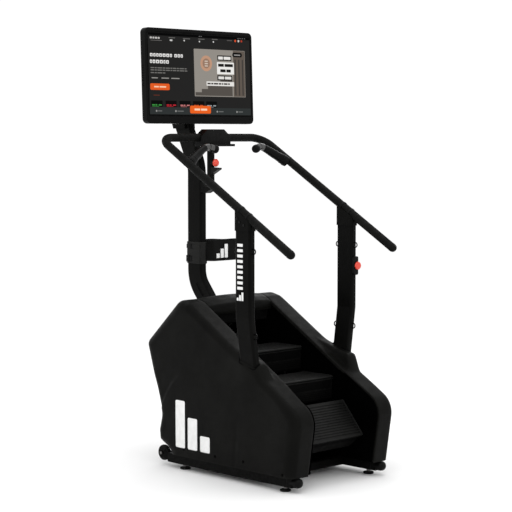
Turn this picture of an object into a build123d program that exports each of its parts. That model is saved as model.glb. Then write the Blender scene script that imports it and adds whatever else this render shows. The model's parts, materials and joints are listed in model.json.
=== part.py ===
from build123d import *
import os
from math import sin, cos, tan, radians, degrees, hypot, atan2, pi

# Stair climber with a moving staircase, handrails, mast and display.
#
# Millimetres, +Z up. X is the width (+X is the user's right, facing the display), Y runs from the
# open front of the staircase towards the mast, Z is height above the floor. The origin is on the
# floor, under the middle of the whole machine. Lengths along Y are written from the front feet and
# shifted by FRONT, the position of the front feet.

os.makedirs("parts", exist_ok=True)

# ------------------------------------------------------------------ driving dimensions
FRONT = -477.0            # Y of the front feet in the final frame
HALF_W = 335.0            # half width of the moulded body
OPEN_HALF = 213.0         # half width of the staircase opening
WALL = 4.0                # moulding wall
SKIRT_Z = 72.0            # lower edge of the mouldings

RAIL_X = 288.0            # base rail centre lines
RAIL_W, RAIL_H, RAIL_Z = 50.0, 45.0, 25.0
FOOT_REAR = 701.0
FOOT_D, FOOT_T = 52.0, 12.0
FOOT_TRAVEL = 12.0
WHEEL_D, WHEEL_W, WHEEL_Y, WHEEL_Z = 78.0, 24.0, 858.0, 61.0
WHEEL_X = 288.0
AXLE_D = 12.0

INCLINE = 30.37           # staircase incline, degrees
STEP_RUN, STEP_RISE = 215.0, 126.0
STEP_HALF = 205.0         # half width of a step
CHAIN_R = 90.0            # pitch radius of the step chain round its sprockets
LOW = (181.0, 239.0)      # lower shaft (Y, Z)
PITCH = hypot(STEP_RUN, STEP_RISE)
SPAN = (6 * PITCH - 2 * pi * CHAIN_R) / 2        # shaft to shaft
CI, SI = STEP_RUN / PITCH, STEP_RISE / PITCH
HIGH = (LOW[0] + SPAN * CI, LOW[1] + SPAN * SI)  # upper shaft (Y, Z)
CORNER = (94.0, 70.0)     # from a step's axle to its tread's back edge
FIRST = 171.4             # distance of the second climbing step from the lower tangent point
SHAFT_D = 30.0

POST_X, POST_Y = 348.0, 208.0
POST_L, POST_W = 102.0, 38.0
BEND_Z, POST_FOOT_Z, POST_LEAN = 800.0, 560.0, 0.14
TUBE_D = 41.0             # handrail tube
RAIL_RX = 349.0
RAIL_END = (-93.0, 1108.0)
RAIL_TOP = (815.0, 1637.6)
RAIL_BEND = 80.0

MAST_L, MAST_W = 102.0, 42.0
MAST_PATH = [(785.0, 732.0), (931.0, 912.0), (931.0, 1490.0), (1040.0, 1728.0)]
MAST_LEAN = degrees(atan2(180.0, 146.0))      # lean of the mast's lower run above the floor
BEAM = (785.0 - 20.2 * cos(radians(MAST_LEAN)), 732.0 - 20.2 * sin(radians(MAST_LEAN)))

SCREEN_W, SCREEN_H, SCREEN_T = 728.0, 474.0, 46.0
SCREEN_C = (897.0, 1945.0)   # front face centre (Y, Z)
SCREEN_TILT = 2.0
GLASS_W, GLASS_H = 692.0, 405.0
TILT_AXIS = (985.0, 1935.0)

PULLEY_R, SMALL_R = 120.0, 26.0
FLY = (720.0, 200.0)      # flywheel shaft (Y, Z)
FLY_R = 86.0


def P(y, z):
    """A point of a side profile, from its distance behind the front feet and its height."""
    return (y + FRONT, z)


def side_plane(x):
    """The plane of a side profile at x, local x along +Y and local y along +Z."""
    return Plane.YZ.offset(x)


def save(builder, name):
    builder.part.label = name
    export_step(builder.part, "parts/%s.step" % name)


# side outline of the body: (Y, Z, corner radius)
OUTLINE = [(-88, SKIRT_Z, 0), (-133, 363, 105), (640, 830, 46), (712, 846, 40), (962, 617, 44), (897, 423, 0),
           (848, 262, 46), (868, 170, 26), (812, 128, 20), (756, SKIRT_Z, 0)]


def body_face(inset=0.0):
    """The side outline as a private sketch face on XY, local x = Y and local y = Z."""
    with BuildSketch(Plane.XY, mode=Mode.PRIVATE) as s:
        with BuildLine():
            Polyline(*[P(y, z) for y, z, r in OUTLINE], close=True)
        make_face()
        for (y, z, r) in OUTLINE:
            if r:
                q = Vector(*P(y, z), 0)
                v = s.vertices().sort_by(lambda t: (Vector(t.X, t.Y, 0) - q).length)[0]
                fillet(v, radius=r)
        if inset:
            offset(amount=-inset, kind=Kind.INTERSECTION)
    return s.sketch


def stadium(r, c0, c1):
    """Face inside the outline round two equal circles, on XY with local x = Y and local y = Z."""
    L = hypot(c1[0] - c0[0], c1[1] - c0[1])
    u = ((c1[0] - c0[0]) / L, (c1[1] - c0[1]) / L)
    n = (-u[1] * r, u[0] * r)
    l1 = Line(P(c0[0] + n[0], c0[1] + n[1]), P(c1[0] + n[0], c1[1] + n[1]))
    l2 = Line(P(c0[0] - n[0], c0[1] - n[1]), P(c1[0] - n[0], c1[1] - n[1]))
    a1 = ThreePointArc(l1 @ 0, P(c0[0] - u[0] * r, c0[1] - u[1] * r), l2 @ 0)
    a2 = ThreePointArc(l1 @ 1, P(c1[0] + u[0] * r, c1[1] + u[1] * r), l2 @ 1)
    return make_face([l1, a2, l2, a1])


OUTER = body_face(0)
INNER = body_face(WALL)
LINER = body_face(WALL + 0.5)

# ------------------------------------------------------------------ base frame
with BuildPart() as base_rails:
    for s in (-1, 1):
        with BuildSketch(Plane.XY.offset(RAIL_Z)):
            with Locations((s * RAIL_X, FRONT + 371)):
                Rectangle(RAIL_W, 870)
        extrude(amount=RAIL_H)
    with BuildSketch(Plane.XZ.offset(-(FRONT - 100))):
        for s in (-1, 1):
            with Locations((s * RAIL_X, RAIL_Z + RAIL_H / 2)):
                Rectangle(RAIL_W - 8, RAIL_H - 8)
    extrude(amount=-960, mode=Mode.SUBTRACT)
    # threaded bushes for the feet
    with BuildSketch(Plane.XY.offset(RAIL_Z)):
        with Locations(*[(s * RAIL_X, FRONT + y) for s in (-1, 1) for y in (0, FOOT_REAR)]):
            Circle(11)
    extrude(amount=RAIL_H)
    with BuildSketch(Plane.XY.offset(RAIL_Z - 1)):
        with Locations(*[(s * RAIL_X, FRONT + y) for s in (-1, 1) for y in (0, FOOT_REAR)]):
            Circle(6.35)
    extrude(amount=RAIL_H + 2, mode=Mode.SUBTRACT)
save(base_rails, "base_rails")

with BuildPart() as base_end_caps:
    for s in (-1, 1):
        with BuildSketch(Plane.XY.offset(RAIL_Z)):
            with Locations((s * RAIL_X, FRONT - 64)):
                Circle(RAIL_W / 2)
            with Locations((s * RAIL_X, FRONT - 64 + 40)):
                Rectangle(RAIL_W + 2, 80, mode=Mode.SUBTRACT)
        extrude(amount=RAIL_H)
    fillet(base_end_caps.edges().filter_by(lambda e: e.center().Z > RAIL_Z + RAIL_H - 1 and e.center().Y < FRONT - 66), 10)
save(base_end_caps, "base_end_caps")

CROSS_Y = (160.0, 365.0, 690.0)
with BuildPart() as cross_members:
    for y in CROSS_Y:
        with BuildSketch(side_plane(-(RAIL_X - RAIL_W / 2))):
            with Locations(P(y, RAIL_Z + 22)):
                RectangleRounded(40, 40, 4)
                RectangleRounded(33, 33, 2, mode=Mode.SUBTRACT)
        extrude(amount=2 * RAIL_X - RAIL_W)
    # beam that takes the foot of the mast
    with BuildSketch(side_plane(-229.5)):
        with Locations(Location((*P(*BEAM), 0), (0, 0, MAST_LEAN))):
            RectangleRounded(40, 40, 4)
            RectangleRounded(33, 33, 2, mode=Mode.SUBTRACT)
    extrude(amount=459)
save(cross_members, "cross_members")

PAN_Z, PAN_T = 58.0, 2.0
with BuildPart() as base_pan:
    for y0, y1 in ((CROSS_Y[0] + 20.3, CROSS_Y[1] - 20.3), (CROSS_Y[1] + 20.3, CROSS_Y[2] - 20.3)):
        with BuildSketch(Plane.XY.offset(PAN_Z)):
            with Locations((0, FRONT + (y0 + y1) / 2)):
                Rectangle(2 * RAIL_X - RAIL_W - 0.6, y1 - y0)
        extrude(amount=PAN_T)
save(base_pan, "base_pan")

with BuildPart() as drive_frames:
    for x in (-236, 230):
        with BuildSketch(side_plane(x)):
            with BuildLine():
                Polyline(P(0, 120), P(60, 110), P(120, 67.5), P(200, 67.5), P(240, 110), P(330, 110), P(365, 67.5), P(400, 67.5),
                         P(440, 110), P(640, 110), P(670, 67.5), P(710, 67.5), P(800, 160), P(800, 300),
                         P(800, 560), P(812, 725), P(760, 745), P(640, 640), P(560, 600),
                         P(120, 345), P(60, 280), P(0, 160), close=True)
            make_face()
            with Locations(P(365, 235), P(440, 285)):
                Circle(28, mode=Mode.SUBTRACT)
            with Locations(P(*LOW), P(*HIGH), P(*FLY)):
                Circle(SHAFT_D / 2 + 12, mode=Mode.SUBTRACT)
        extrude(amount=6)
save(drive_frames, "drive_frames")


# ------------------------------------------------------------------ posts (needed by the cover pockets)
def post_x(z):
    return POST_X if z >= BEND_Z else POST_X - POST_LEAN * (BEND_Z - z)


def rail_z(y):
    """Height of the handrail's centre line over a point y behind the front feet."""
    return RAIL_END[1] + (RAIL_TOP[1] - RAIL_END[1]) * (y - RAIL_END[0]) / (RAIL_TOP[0] - RAIL_END[0])


RAIL_ANG = degrees(atan2(RAIL_TOP[1] - RAIL_END[1], RAIL_TOP[0] - RAIL_END[0]))


def rail_bore(s, r):
    """Solid cylinder along a side rail, to cut saddles with."""
    mid = Vector(s * RAIL_RX, FRONT + POST_Y, rail_z(POST_Y))
    pl = Plane(origin=mid, x_dir=(1, 0, 0), z_dir=(0, cos(radians(RAIL_ANG)), sin(radians(RAIL_ANG))))
    return pl * Cylinder(r, 1900, mode=Mode.PRIVATE)


def above_rail(s):
    """A block that holds all the space above a side rail's centre plane, to trim tops with."""
    mid = Vector(s * RAIL_RX, FRONT + POST_Y, rail_z(POST_Y))
    pl = Plane(origin=mid, x_dir=(1, 0, 0), z_dir=(0, -sin(radians(RAIL_ANG)), cos(radians(RAIL_ANG))))
    return pl * (Pos(0, 0, 98) * Box(120, 400, 200, mode=Mode.PRIVATE))


def post_bar(s, grow, z0, z1):
    """Flat oval bar along one post, larger by grow all round, between two heights."""
    bar = None
    stretches = [(z0, min(z1, BEND_Z))] if z0 < BEND_Z else []
    if z1 > BEND_Z:
        stretches.append((max(z0, BEND_Z), z1))
    for a, b in stretches:
        pts = [Vector(s * post_x(a), FRONT + POST_Y, a), Vector(s * post_x(b), FRONT + POST_Y, b)]
        faces = []
        for p in pts:
            sk = Plane(origin=p, x_dir=(1, 0, 0), z_dir=(0, 0, 1)) * RectangleRounded(
                POST_W + 2 * grow, POST_L + 2 * grow, 12 + grow)
            faces.append(sk)
        seg = loft(faces)
        bar = seg if bar is None else bar + seg
    return bar


for side, s in (("left", -1), ("right", 1)):
    bar = post_bar(s, 0, POST_FOOT_Z, 1330)
    core = post_bar(s, -3, POST_FOOT_Z - 1, 1331)
    with BuildPart() as post:
        add(bar)
        add(core, mode=Mode.SUBTRACT)
        add(above_rail(s), mode=Mode.SUBTRACT)
        add(rail_bore(s, TUBE_D / 2), mode=Mode.SUBTRACT)
    save(post, "post_" + side)

with BuildPart() as post_collars:
    for s in (-1, 1):
        with BuildSketch(Plane.XY.offset(1205)):
            with Locations((s * POST_X, FRONT + POST_Y)):
                RectangleRounded(POST_W + 9, POST_L + 9, 15)
                RectangleRounded(POST_W + 0.2, POST_L + 0.2, 12, mode=Mode.SUBTRACT)
        extrude(amount=120)
        add(above_rail(s), mode=Mode.SUBTRACT)
        add(rail_bore(s, TUBE_D / 2 + 0.1), mode=Mode.SUBTRACT)
save(post_collars, "post_collars")

# ------------------------------------------------------------------ moulded covers
BOSS = [(100, 500), (112, 535), (142, 577), (262, 621), (335, 643), (345, 600), (320, 470), (150, 410), (108, 440)]

for side, s in (("left", -1), ("right", 1)):
    pocket = post_bar(s, 0.3, POST_FOOT_Z, 760)
    a, b = sorted((s * OPEN_HALF, s * HALF_W))
    c, d = sorted((s * (OPEN_HALF - 1), s * (HALF_W - WALL)))
    e, f = sorted((s * 262, s * 350))
    edge_x = s * HALF_W
    with BuildPart() as cover:
        with BuildSketch(side_plane(a)):
            add(OUTER)
        extrude(amount=b - a)
        rim = (cover.edges().filter_by(lambda q: abs(q.center().X - edge_x) < 0.5)
               .filter_by(lambda q: q.center().Z > SKIRT_Z + 2))
        fillet(rim, 17)
        with BuildSketch(side_plane(c)):
            add(INNER)
        extrude(amount=d - c, mode=Mode.SUBTRACT)
        # open underneath
        with BuildSketch(Plane.XY.offset(SKIRT_Z - 1)):
            with Locations(((c + d) / 2, FRONT + 334)):
                Rectangle(abs(d - c), 834)
        extrude(amount=WALL + 3, mode=Mode.SUBTRACT)
        # seat for the post
        with BuildSketch(side_plane(e)):
            with BuildLine():
                Polyline(*[P(y, z) for y, z in BOSS], close=True)
            make_face()
            fillet(vertices(), 12)
        extrude(amount=f - e)
        fillet(cover.edges().filter_by(lambda q: abs(q.center().X - s * 350) < 0.5), 9)
        add(pocket, mode=Mode.SUBTRACT)
    save(cover, "side_cover_" + side)

SKIRT_HOLE = stadium(CHAIN_R + 20, LOW, HIGH)
with BuildPart() as inner_skirts:
    for x in (-OPEN_HALF - 3.2, OPEN_HALF + 0.2):
        with BuildSketch(side_plane(x)):
            add(LINER)
            # room for the axles and chains that run round the two shafts
            add(SKIRT_HOLE, mode=Mode.SUBTRACT)
            # room for the generator's shaft and the mast's beam
            with Locations(P(*FLY)):
                Circle(54, mode=Mode.SUBTRACT)
            with Locations(P(*BEAM)):
                Circle(32, mode=Mode.SUBTRACT)
        extrude(amount=3)
save(inner_skirts, "inner_skirts")

mast_slot = Plane(origin=(0, FRONT + 800, 750.5), x_dir=(1, 0, 0), z_dir=(0, 0.63, 0.777)) * Box(MAST_W + 3, MAST_L + 3, 160)
with BuildPart() as rear_cover:
    with BuildSketch(side_plane(-OPEN_HALF + 0.3)):
        add(OUTER)
        add(INNER, mode=Mode.SUBTRACT)
        with Locations(P(200, 500)):
            Rectangle(810, 1200, mode=Mode.SUBTRACT)
        with Locations(P(700, 60)):
            Rectangle(400, 90, mode=Mode.SUBTRACT)
        # fascia below the front lip of the hood
        with BuildLine():
            Polyline(P(605, 806), P(609, 808), P(609, 738), P(605, 738), close=True)
        make_face()
    extrude(amount=2 * OPEN_HALF - 0.6)
    add(mast_slot, mode=Mode.SUBTRACT)
save(rear_cover, "rear_cover")

with BuildPart() as rear_guard:
    with BuildSketch(side_plane(-OPEN_HALF + 2)):
        with BuildLine():
            Polyline(P(618, 802), P(622, 802), P(642, 716), P(638, 716), close=True)
        make_face()
    extrude(amount=2 * OPEN_HALF - 4)
save(rear_guard, "rear_guard")

# ------------------------------------------------------------------ step drive
with BuildPart() as drive_shaft:
    with BuildSketch(side_plane(-252)):
        with Locations(P(*HIGH)):
            Circle(SHAFT_D / 2)
    extrude(amount=536)
save(drive_shaft, "drive_shaft")

with BuildPart() as idler_shaft:
    with BuildSketch(side_plane(-252)):
        with Locations(P(*LOW)):
            Circle(SHAFT_D / 2)
    extrude(amount=504)
save(idler_shaft, "idler_shaft")


def sprocket_pair(where, name):
    with BuildPart() as sprockets:
        for x in (-226, 220):
            with BuildSketch(side_plane(x)):
                with Locations(P(*where)):
                    Circle(CHAIN_R - 11)
                    with PolarLocations(CHAIN_R - 11, 18):
                        Circle(5.5, mode=Mode.SUBTRACT)
                    with PolarLocations(48, 6):
                        Circle(14, mode=Mode.SUBTRACT)
                    Circle(SHAFT_D / 2, mode=Mode.SUBTRACT)
            extrude(amount=6)
    save(sprockets, name)


sprocket_pair(HIGH, "upper_sprockets")
sprocket_pair(LOW, "lower_sprockets")


CHAIN_OUT = stadium(CHAIN_R + 9, LOW, HIGH)
CHAIN_IN = stadium(CHAIN_R - 9.5, LOW, HIGH)
with BuildPart() as step_chains:
    for x in (-227, 219):
        with BuildSketch(side_plane(x)):
            add(CHAIN_OUT)
            add(CHAIN_IN, mode=Mode.SUBTRACT)
        extrude(amount=8)
save(step_chains, "step_chains")

with BuildPart() as shaft_bearings:
    for c in (LOW, HIGH, FLY):
        for x in (-244, 236.2):
            if c is FLY and x < 0:
                continue
            bore = SHAFT_D / 2 if c is not FLY else 10.0
            with BuildSketch(side_plane(x)):
                with Locations(P(*c)):
                    Circle(36)
                    Circle(bore + 0.05, mode=Mode.SUBTRACT)
            extrude(amount=7.8)
save(shaft_bearings, "shaft_bearings")


# a step, drawn with its axle at the origin and its tread level, then turned and put in place
def step_solids(axle, turn, tread_only=False, riser_only=False):
    """Tread (ribbed plate) and carrier (riser, end brackets, axle) as private solids."""
    pl = Plane(origin=(0, FRONT + axle[0], axle[1]), x_dir=(1, 0, 0), z_dir=(0, 0, 1))
    rot = Location((0, FRONT + axle[0], axle[1])) * Rot(turn, 0, 0)
    y_back, z_top = CORNER[0] - 9, CORNER[1]
    y_front = CORNER[0] - STEP_RUN
    length = y_back - y_front
    plate = Pos(0, (y_back + y_front) / 2, z_top - 9) * Box(2 * STEP_HALF, length, 18)
    plate = plate - Pos(0, (y_back + y_front) / 2, z_top - 14) * Box(2 * STEP_HALF - 12, length - 12, 12)
    riser = Pos(0, y_front + 9, z_top - 18.4 - 48) * Box(2 * STEP_HALF - 4, 6, 96)
    ends = []
    for s in (-1, 1):
        pts = [(y_front + 10, z_top - 18.4), (y_back - 30, z_top - 18.4), (16, -14), (-16, -14), (y_front + 10, -30)]
        f = make_face(Polyline(*[(0, a, b) for a, b in pts], close=True))
        ends.append(extrude(Pos(s * (STEP_HALF - 8), 0, 0) * f, amount=6, dir=(-s, 0, 0)))
    axle_bar = Rot(0, 90, 0) * Cylinder(8, 2 * 218)
    carrier = riser + ends[0] + ends[1] + axle_bar
    return rot * plate, rot * carrier


def on_line(dist, side):
    """(Y, Z) of the axle, dist up the incline from the lower shaft, on the climbing (+1) or return (-1) side."""
    return (LOW[0] - side * SI * CHAIN_R + CI * dist, LOW[1] + side * CI * CHAIN_R + SI * dist)


def on_arc(centre, turn):
    """(Y, Z) of the axle that has turned by turn degrees past the climbing tangent of a shaft."""
    a = radians(turn)
    v = (-SI * CHAIN_R, CI * CHAIN_R)
    return (centre[0] + v[0] * cos(a) - v[1] * sin(a), centre[1] + v[0] * sin(a) + v[1] * cos(a))


ARC = degrees(PITCH / CHAIN_R)
TURN_3 = degrees((PITCH - FIRST) / CHAIN_R)                    # step just turning at the bottom
TURN_0 = -degrees((FIRST + 2 * PITCH - SPAN) / CHAIN_R)        # step coming round the top
S4 = SPAN - (FIRST + 4 * PITCH - SPAN - pi * CHAIN_R)         # return side, distance from the lower shaft
S5 = SPAN - (FIRST + 3 * PITCH - SPAN - pi * CHAIN_R)
print("upper shaft", HIGH, "turns", TURN_3, TURN_0, "return", S4, S5)

for label, axle, turn in (("1", on_line(FIRST + PITCH, 1), 0), ("2", on_line(FIRST, 1), 0),
                          ("3", on_arc(LOW, TURN_3), TURN_3)):
    plate, carrier = step_solids(axle, turn)
    with BuildPart() as tread:
        add(plate)
    save(tread, "step_%s_tread" % label)
    with BuildPart() as riser:
        add(carrier)
    save(riser, "step_%s_riser" % label)

plate, carrier = step_solids(on_arc(HIGH, TURN_0), TURN_0)
with BuildPart() as step_0:
    add(plate)
    add(carrier)
save(step_0, "step_0")

returning = [step_solids(on_line(dist, -1), 180) for dist in (S4, S5)]
with BuildPart() as return_steps:
    for plate, carrier in returning:
        add(plate)
        add(carrier)
save(return_steps, "return_steps")

with BuildPart() as drive_pulley:
    with BuildSketch(side_plane(256)):
        with Locations(P(*HIGH)):
            Circle(PULLEY_R)
            with PolarLocations(72, 6):
                Circle(24, mode=Mode.SUBTRACT)
            Circle(SHAFT_D / 2, mode=Mode.SUBTRACT)
    extrude(amount=20)
save(drive_pulley, "drive_pulley")

with BuildPart() as flywheel:
    with BuildSketch(side_plane(70)):
        with Locations(P(*FLY)):
            Circle(10)
    extrude(amount=234)
    with BuildSketch(side_plane(256)):
        with Locations(P(*FLY)):
            Circle(SMALL_R)
    extrude(amount=20)
    with BuildSketch(side_plane(282)):
        with Locations(P(*FLY)):
            Circle(FLY_R)
    extrude(amount=18)
save(flywheel, "flywheel")


def belt_face(r0, r1):
    """Face inside an open belt round the pulley (r0) and the small pulley (r1)."""
    c0, c1 = HIGH, FLY
    dx, dy = c1[0] - c0[0], c1[1] - c0[1]
    L = hypot(dx, dy)
    u = (dx / L, dy / L)
    w = (-u[1], u[0])
    k = (r0 - r1) / L
    h = (1 - k * k) ** 0.5
    t = []
    for sg in (1, -1):
        n = (u[0] * k + sg * w[0] * h, u[1] * k + sg * w[1] * h)
        t.append(((c0[0] + n[0] * r0, c0[1] + n[1] * r0), (c1[0] + n[0] * r1, c1[1] + n[1] * r1)))
    l1 = Line(P(*t[0][0]), P(*t[0][1]))
    l2 = Line(P(*t[1][0]), P(*t[1][1]))
    a1 = ThreePointArc(l1 @ 0, P(c0[0] - u[0] * r0, c0[1] - u[1] * r0), l2 @ 0)
    a2 = ThreePointArc(l1 @ 1, P(c1[0] + u[0] * r1, c1[1] + u[1] * r1), l2 @ 1)
    return make_face([l1, a2, l2, a1])


BELT_OUT = belt_face(PULLEY_R + 3.8, SMALL_R + 3.8)
BELT_IN = belt_face(PULLEY_R + 0.4, SMALL_R + 0.4)
with BuildPart() as drive_belt:
    with BuildSketch(side_plane(258)):
        add(BELT_OUT)
        add(BELT_IN, mode=Mode.SUBTRACT)
    extrude(amount=16)
save(drive_belt, "drive_belt")

with BuildPart() as generator:
    with BuildSketch(side_plane(75)):
        with Locations(P(*FLY)):
            Circle(68)
            Circle(10.1, mode=Mode.SUBTRACT)
    extrude(amount=120)
    fillet(generator.edges().filter_by(GeomType.CIRCLE).filter_by(lambda q: q.radius > 60), 6)
    with BuildSketch(side_plane(195)):
        with Locations(P(*FLY)):
            Circle(46)
            Circle(36.2, mode=Mode.SUBTRACT)
    extrude(amount=34.8)
save(generator, "generator")

with BuildPart() as control_board:
    with BuildSketch(side_plane(-244)):
        with Locations(P(640, 250)):
            RectangleRounded(150, 200, 6)
    extrude(amount=7.8)
    with BuildSketch(side_plane(-258)):
        with Locations(P(610, 290), P(670, 290), P(640, 210)):
            Rectangle(40, 50)
    extrude(amount=14)
save(control_board, "control_board")

with BuildPart() as power_inlet:
    with BuildSketch(Plane.XZ.offset(-(FRONT + 770))):
        with Locations((150, 47)):
            RectangleRounded(58, 40, 4)
    extrude(amount=60)
    with BuildSketch(Plane.XZ.offset(-(FRONT + 770))):
        with Locations((150, 47)):
            RectangleRounded(26, 18, 3)
    extrude(amount=18, mode=Mode.SUBTRACT)
save(power_inlet, "power_inlet")

# ------------------------------------------------------------------ feet and wheels
for name, s, y in (("foot_front_left", -1, 0), ("foot_front_right", 1, 0),
                   ("foot_rear_left", -1, FOOT_REAR), ("foot_rear_right", 1, FOOT_REAR)):
    with BuildPart() as foot:
        with BuildSketch(Plane.XZ):
            with BuildLine():
                Polyline((0, 0), (FOOT_D / 2 - 2, 0), (FOOT_D / 2, 2), (FOOT_D / 2, 7), (18, FOOT_T),
                         (9, FOOT_T), (9, 21), (6.0, 21), (6.0, 66), (0, 66), close=True)
            make_face()
        revolve(axis=Axis.Z)
    moved = foot.part.moved(Location((s * RAIL_X, FRONT + y, 0)))
    with BuildPart() as foot_placed:
        add(moved)
    save(foot_placed, name)

for name, s in (("wheel_left", -1), ("wheel_right", 1)):
    with BuildPart() as wheel:
        with BuildSketch(side_plane(s * WHEEL_X - WHEEL_W / 2)):
            with Locations(P(WHEEL_Y, WHEEL_Z)):
                Circle(WHEEL_D / 2)
                Circle(AXLE_D / 2 + 0.06, mode=Mode.SUBTRACT)
        extrude(amount=WHEEL_W)
        fillet(wheel.edges().filter_by(GeomType.CIRCLE).filter_by(lambda q: q.radius > 30), 5)
    save(wheel, name)

with BuildPart() as wheel_axles:
    for s in (-1, 1):
        with BuildSketch(side_plane(s * WHEEL_X - 24)):
            with Locations(P(WHEEL_Y, WHEEL_Z)):
                Circle(AXLE_D / 2)
        extrude(amount=48)
        # fork plates from the rail's tail to the axle
        for x in (-19, 14):
            with BuildSketch(side_plane(s * WHEEL_X + x)):
                with BuildLine():
                    Polyline(P(806.2, 28), P(806.2, 68), P(850, 76), P(870, 70), P(870, 52), P(852, 44), close=True)
                make_face()
            extrude(amount=5)
        with BuildSketch(side_plane(s * WHEEL_X - 22)):
            with Locations(P(WHEEL_Y, WHEEL_Z)):
                Circle(AXLE_D / 2)
        extrude(amount=44)
save(wheel_axles, "wheel_axles")

# ------------------------------------------------------------------ handrails
for side, s in (("left", -1), ("right", 1)):
    p0 = (s * RAIL_RX, FRONT + RAIL_END[0], RAIL_END[1])
    p1 = (s * RAIL_RX, FRONT + RAIL_TOP[0], RAIL_TOP[1])
    p2 = (s * 0.1, FRONT + RAIL_TOP[0], RAIL_TOP[1])
    with BuildPart() as rail:
        with BuildLine():
            path = FilletPolyline(p0, p1, p2, radius=RAIL_BEND)
        with BuildSketch(Plane(origin=p0, z_dir=path % 0)):
            Circle(TUBE_D / 2)
            Circle(TUBE_D / 2 - 2.5, mode=Mode.SUBTRACT)
        sweep()
    save(rail, "handrail_" + side)

with BuildPart() as handrail_end_caps:
    for s in (-1, 1):
        d = Vector(0, cos(radians(RAIL_ANG)), sin(radians(RAIL_ANG)))
        o = Vector(s * RAIL_RX, FRONT + RAIL_END[0], RAIL_END[1])
        pl = Plane(origin=o, x_dir=(1, 0, 0), z_dir=-d)
        add(pl * (Sphere(TUBE_D / 2, mode=Mode.PRIVATE) - Pos(0, 0, -25) * Box(50, 50, 50, mode=Mode.PRIVATE)))
        add(pl * (Pos(0, 0, -10) * Cylinder(TUBE_D / 2 - 2.6, 20, mode=Mode.PRIVATE)))
save(handrail_end_caps, "handrail_end_caps")

GRIP = [(331.0, 614.0, 1515.0), (268.0, 634.0, 1552.0), (190.0, 650.0, 1592.0), (133.0, 638.0, 1580.0)]
with BuildPart() as grip_bars:
    for s in (-1, 1):
        pts = [Vector(s * x, FRONT + y, z) for x, y, z in GRIP]
        with BuildLine():
            path = FilletPolyline(*pts, radius=[60, 60])
        with BuildSketch(Plane(origin=pts[0], z_dir=(pts[1] - pts[0]).normalized())):
            Circle(19)
        sweep()
        add(rail_bore(s, TUBE_D / 2 + 0.05), mode=Mode.SUBTRACT)
save(grip_bars, "grip_bars")

with BuildPart() as grip_contacts:
    for s in (-1, 1):
        a = Vector(s * GRIP[1][0], FRONT + GRIP[1][1], GRIP[1][2])
        b = Vector(s * GRIP[2][0], FRONT + GRIP[2][1], GRIP[2][2])
        d = (b - a).normalized()
        for t0, t1 in ((0.24, 0.47), (0.53, 0.76)):
            m = a + (b - a) * ((t0 + t1) / 2)
            pl = Plane(origin=m, x_dir=(0, 1, 0), z_dir=d)
            ln = (b - a).length * (t1 - t0)
            add(pl * (Cylinder(21, ln, mode=Mode.PRIVATE) - Cylinder(19.1, ln + 2, mode=Mode.PRIVATE)))
save(grip_contacts, "grip_contacts")

with BuildPart() as grip_end_caps:
    for s in (-1, 1):
        a = Vector(s * GRIP[2][0], FRONT + GRIP[2][1], GRIP[2][2])
        b = Vector(s * GRIP[3][0], FRONT + GRIP[3][1], GRIP[3][2])
        d = (b - a).normalized()
        pl = Plane(origin=b, x_dir=(0, 1, 0), z_dir=d)
        add(pl * (Pos(0, 0, 7) * Cylinder(21, 14, mode=Mode.PRIVATE)))
        add(pl * (Pos(0, 0, 17) * Cone(21, 15, 6, mode=Mode.PRIVATE)))
save(grip_end_caps, "grip_end_caps")

# ------------------------------------------------------------------ console pod between the rails
with BuildPart() as console_pod:
    with BuildSketch(Plane.XZ.offset(-(FRONT + 833))):
        with BuildLine():
            Polyline((-100, 1600), (100, 1600), (100, 1644), (56, 1680), (-56, 1680), (-100, 1644), close=True)
        make_face()
        fillet(vertices(), 5)
    extrude(amount=48)
    with BuildSketch(Plane.XY.offset(1594)):
        with Locations((0, FRONT + 792)):
            RectangleRounded(206, 84, 8)
    extrude(amount=12)
    with BuildSketch(side_plane(-120)):
        with Locations(P(*RAIL_TOP)):
            Circle(TUBE_D / 2 + 0.1)
    extrude(amount=240, mode=Mode.SUBTRACT)
save(console_pod, "console_pod")

with BuildPart() as console_support_tube:
    with BuildSketch(Plane.XY.offset(1392)):
        with Locations((0, FRONT + 825)):
            Circle(19)
            Circle(16, mode=Mode.SUBTRACT)
    extrude(amount=201.8)
    # hole for the stop button's stem
    with BuildSketch(Plane.XZ.offset(-(FRONT + 815))):
        with Locations((0, 1511)):
            Circle(8.3)
    extrude(amount=15, mode=Mode.SUBTRACT)
save(console_support_tube, "console_support_tube")

with BuildPart() as console_support_bracket:
    with BuildSketch(side_plane(-22)):
        with BuildLine():
            Polyline(P(802, 1391.8), P(850, 1391.8), P(879.6, 1418), P(879.6, 1362), P(850, 1356), P(802, 1376), close=True)
        make_face()
        fillet(vertices(), 3)
    extrude(amount=44)
save(console_support_bracket, "console_support_bracket")

with BuildPart() as estop_bases:
    # on the console support tube: round neck and a sloping guard below it
    with BuildSketch(Plane.XZ.offset(-(FRONT + 813))):
        with Locations((0, 1511)):
            Circle(15)
            Circle(8.2, mode=Mode.SUBTRACT)
    extrude(amount=16)
    with BuildSketch(side_plane(-13)):
        with BuildLine():
            Polyline(P(813, 1489), P(756, 1486), P(758, 1478), P(813, 1450), close=True)
        make_face()
    extrude(amount=26)
    with BuildSketch(Plane.XY.offset(1440)):
        with Locations((0, FRONT + 825)):
            Circle(19.05)
    extrude(amount=100, mode=Mode.SUBTRACT)
    # on the front of the right post: long housing and a neck
    with BuildSketch(Plane.XZ.offset(-(FRONT + POST_Y - POST_L / 2 - 0.2))):
        with Locations((POST_X, 1008)):
            RectangleRounded(28, 92, 9)
            Circle(8.2, mode=Mode.SUBTRACT)
    extrude(amount=15)
save(estop_bases, "estop_bases")

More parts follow.
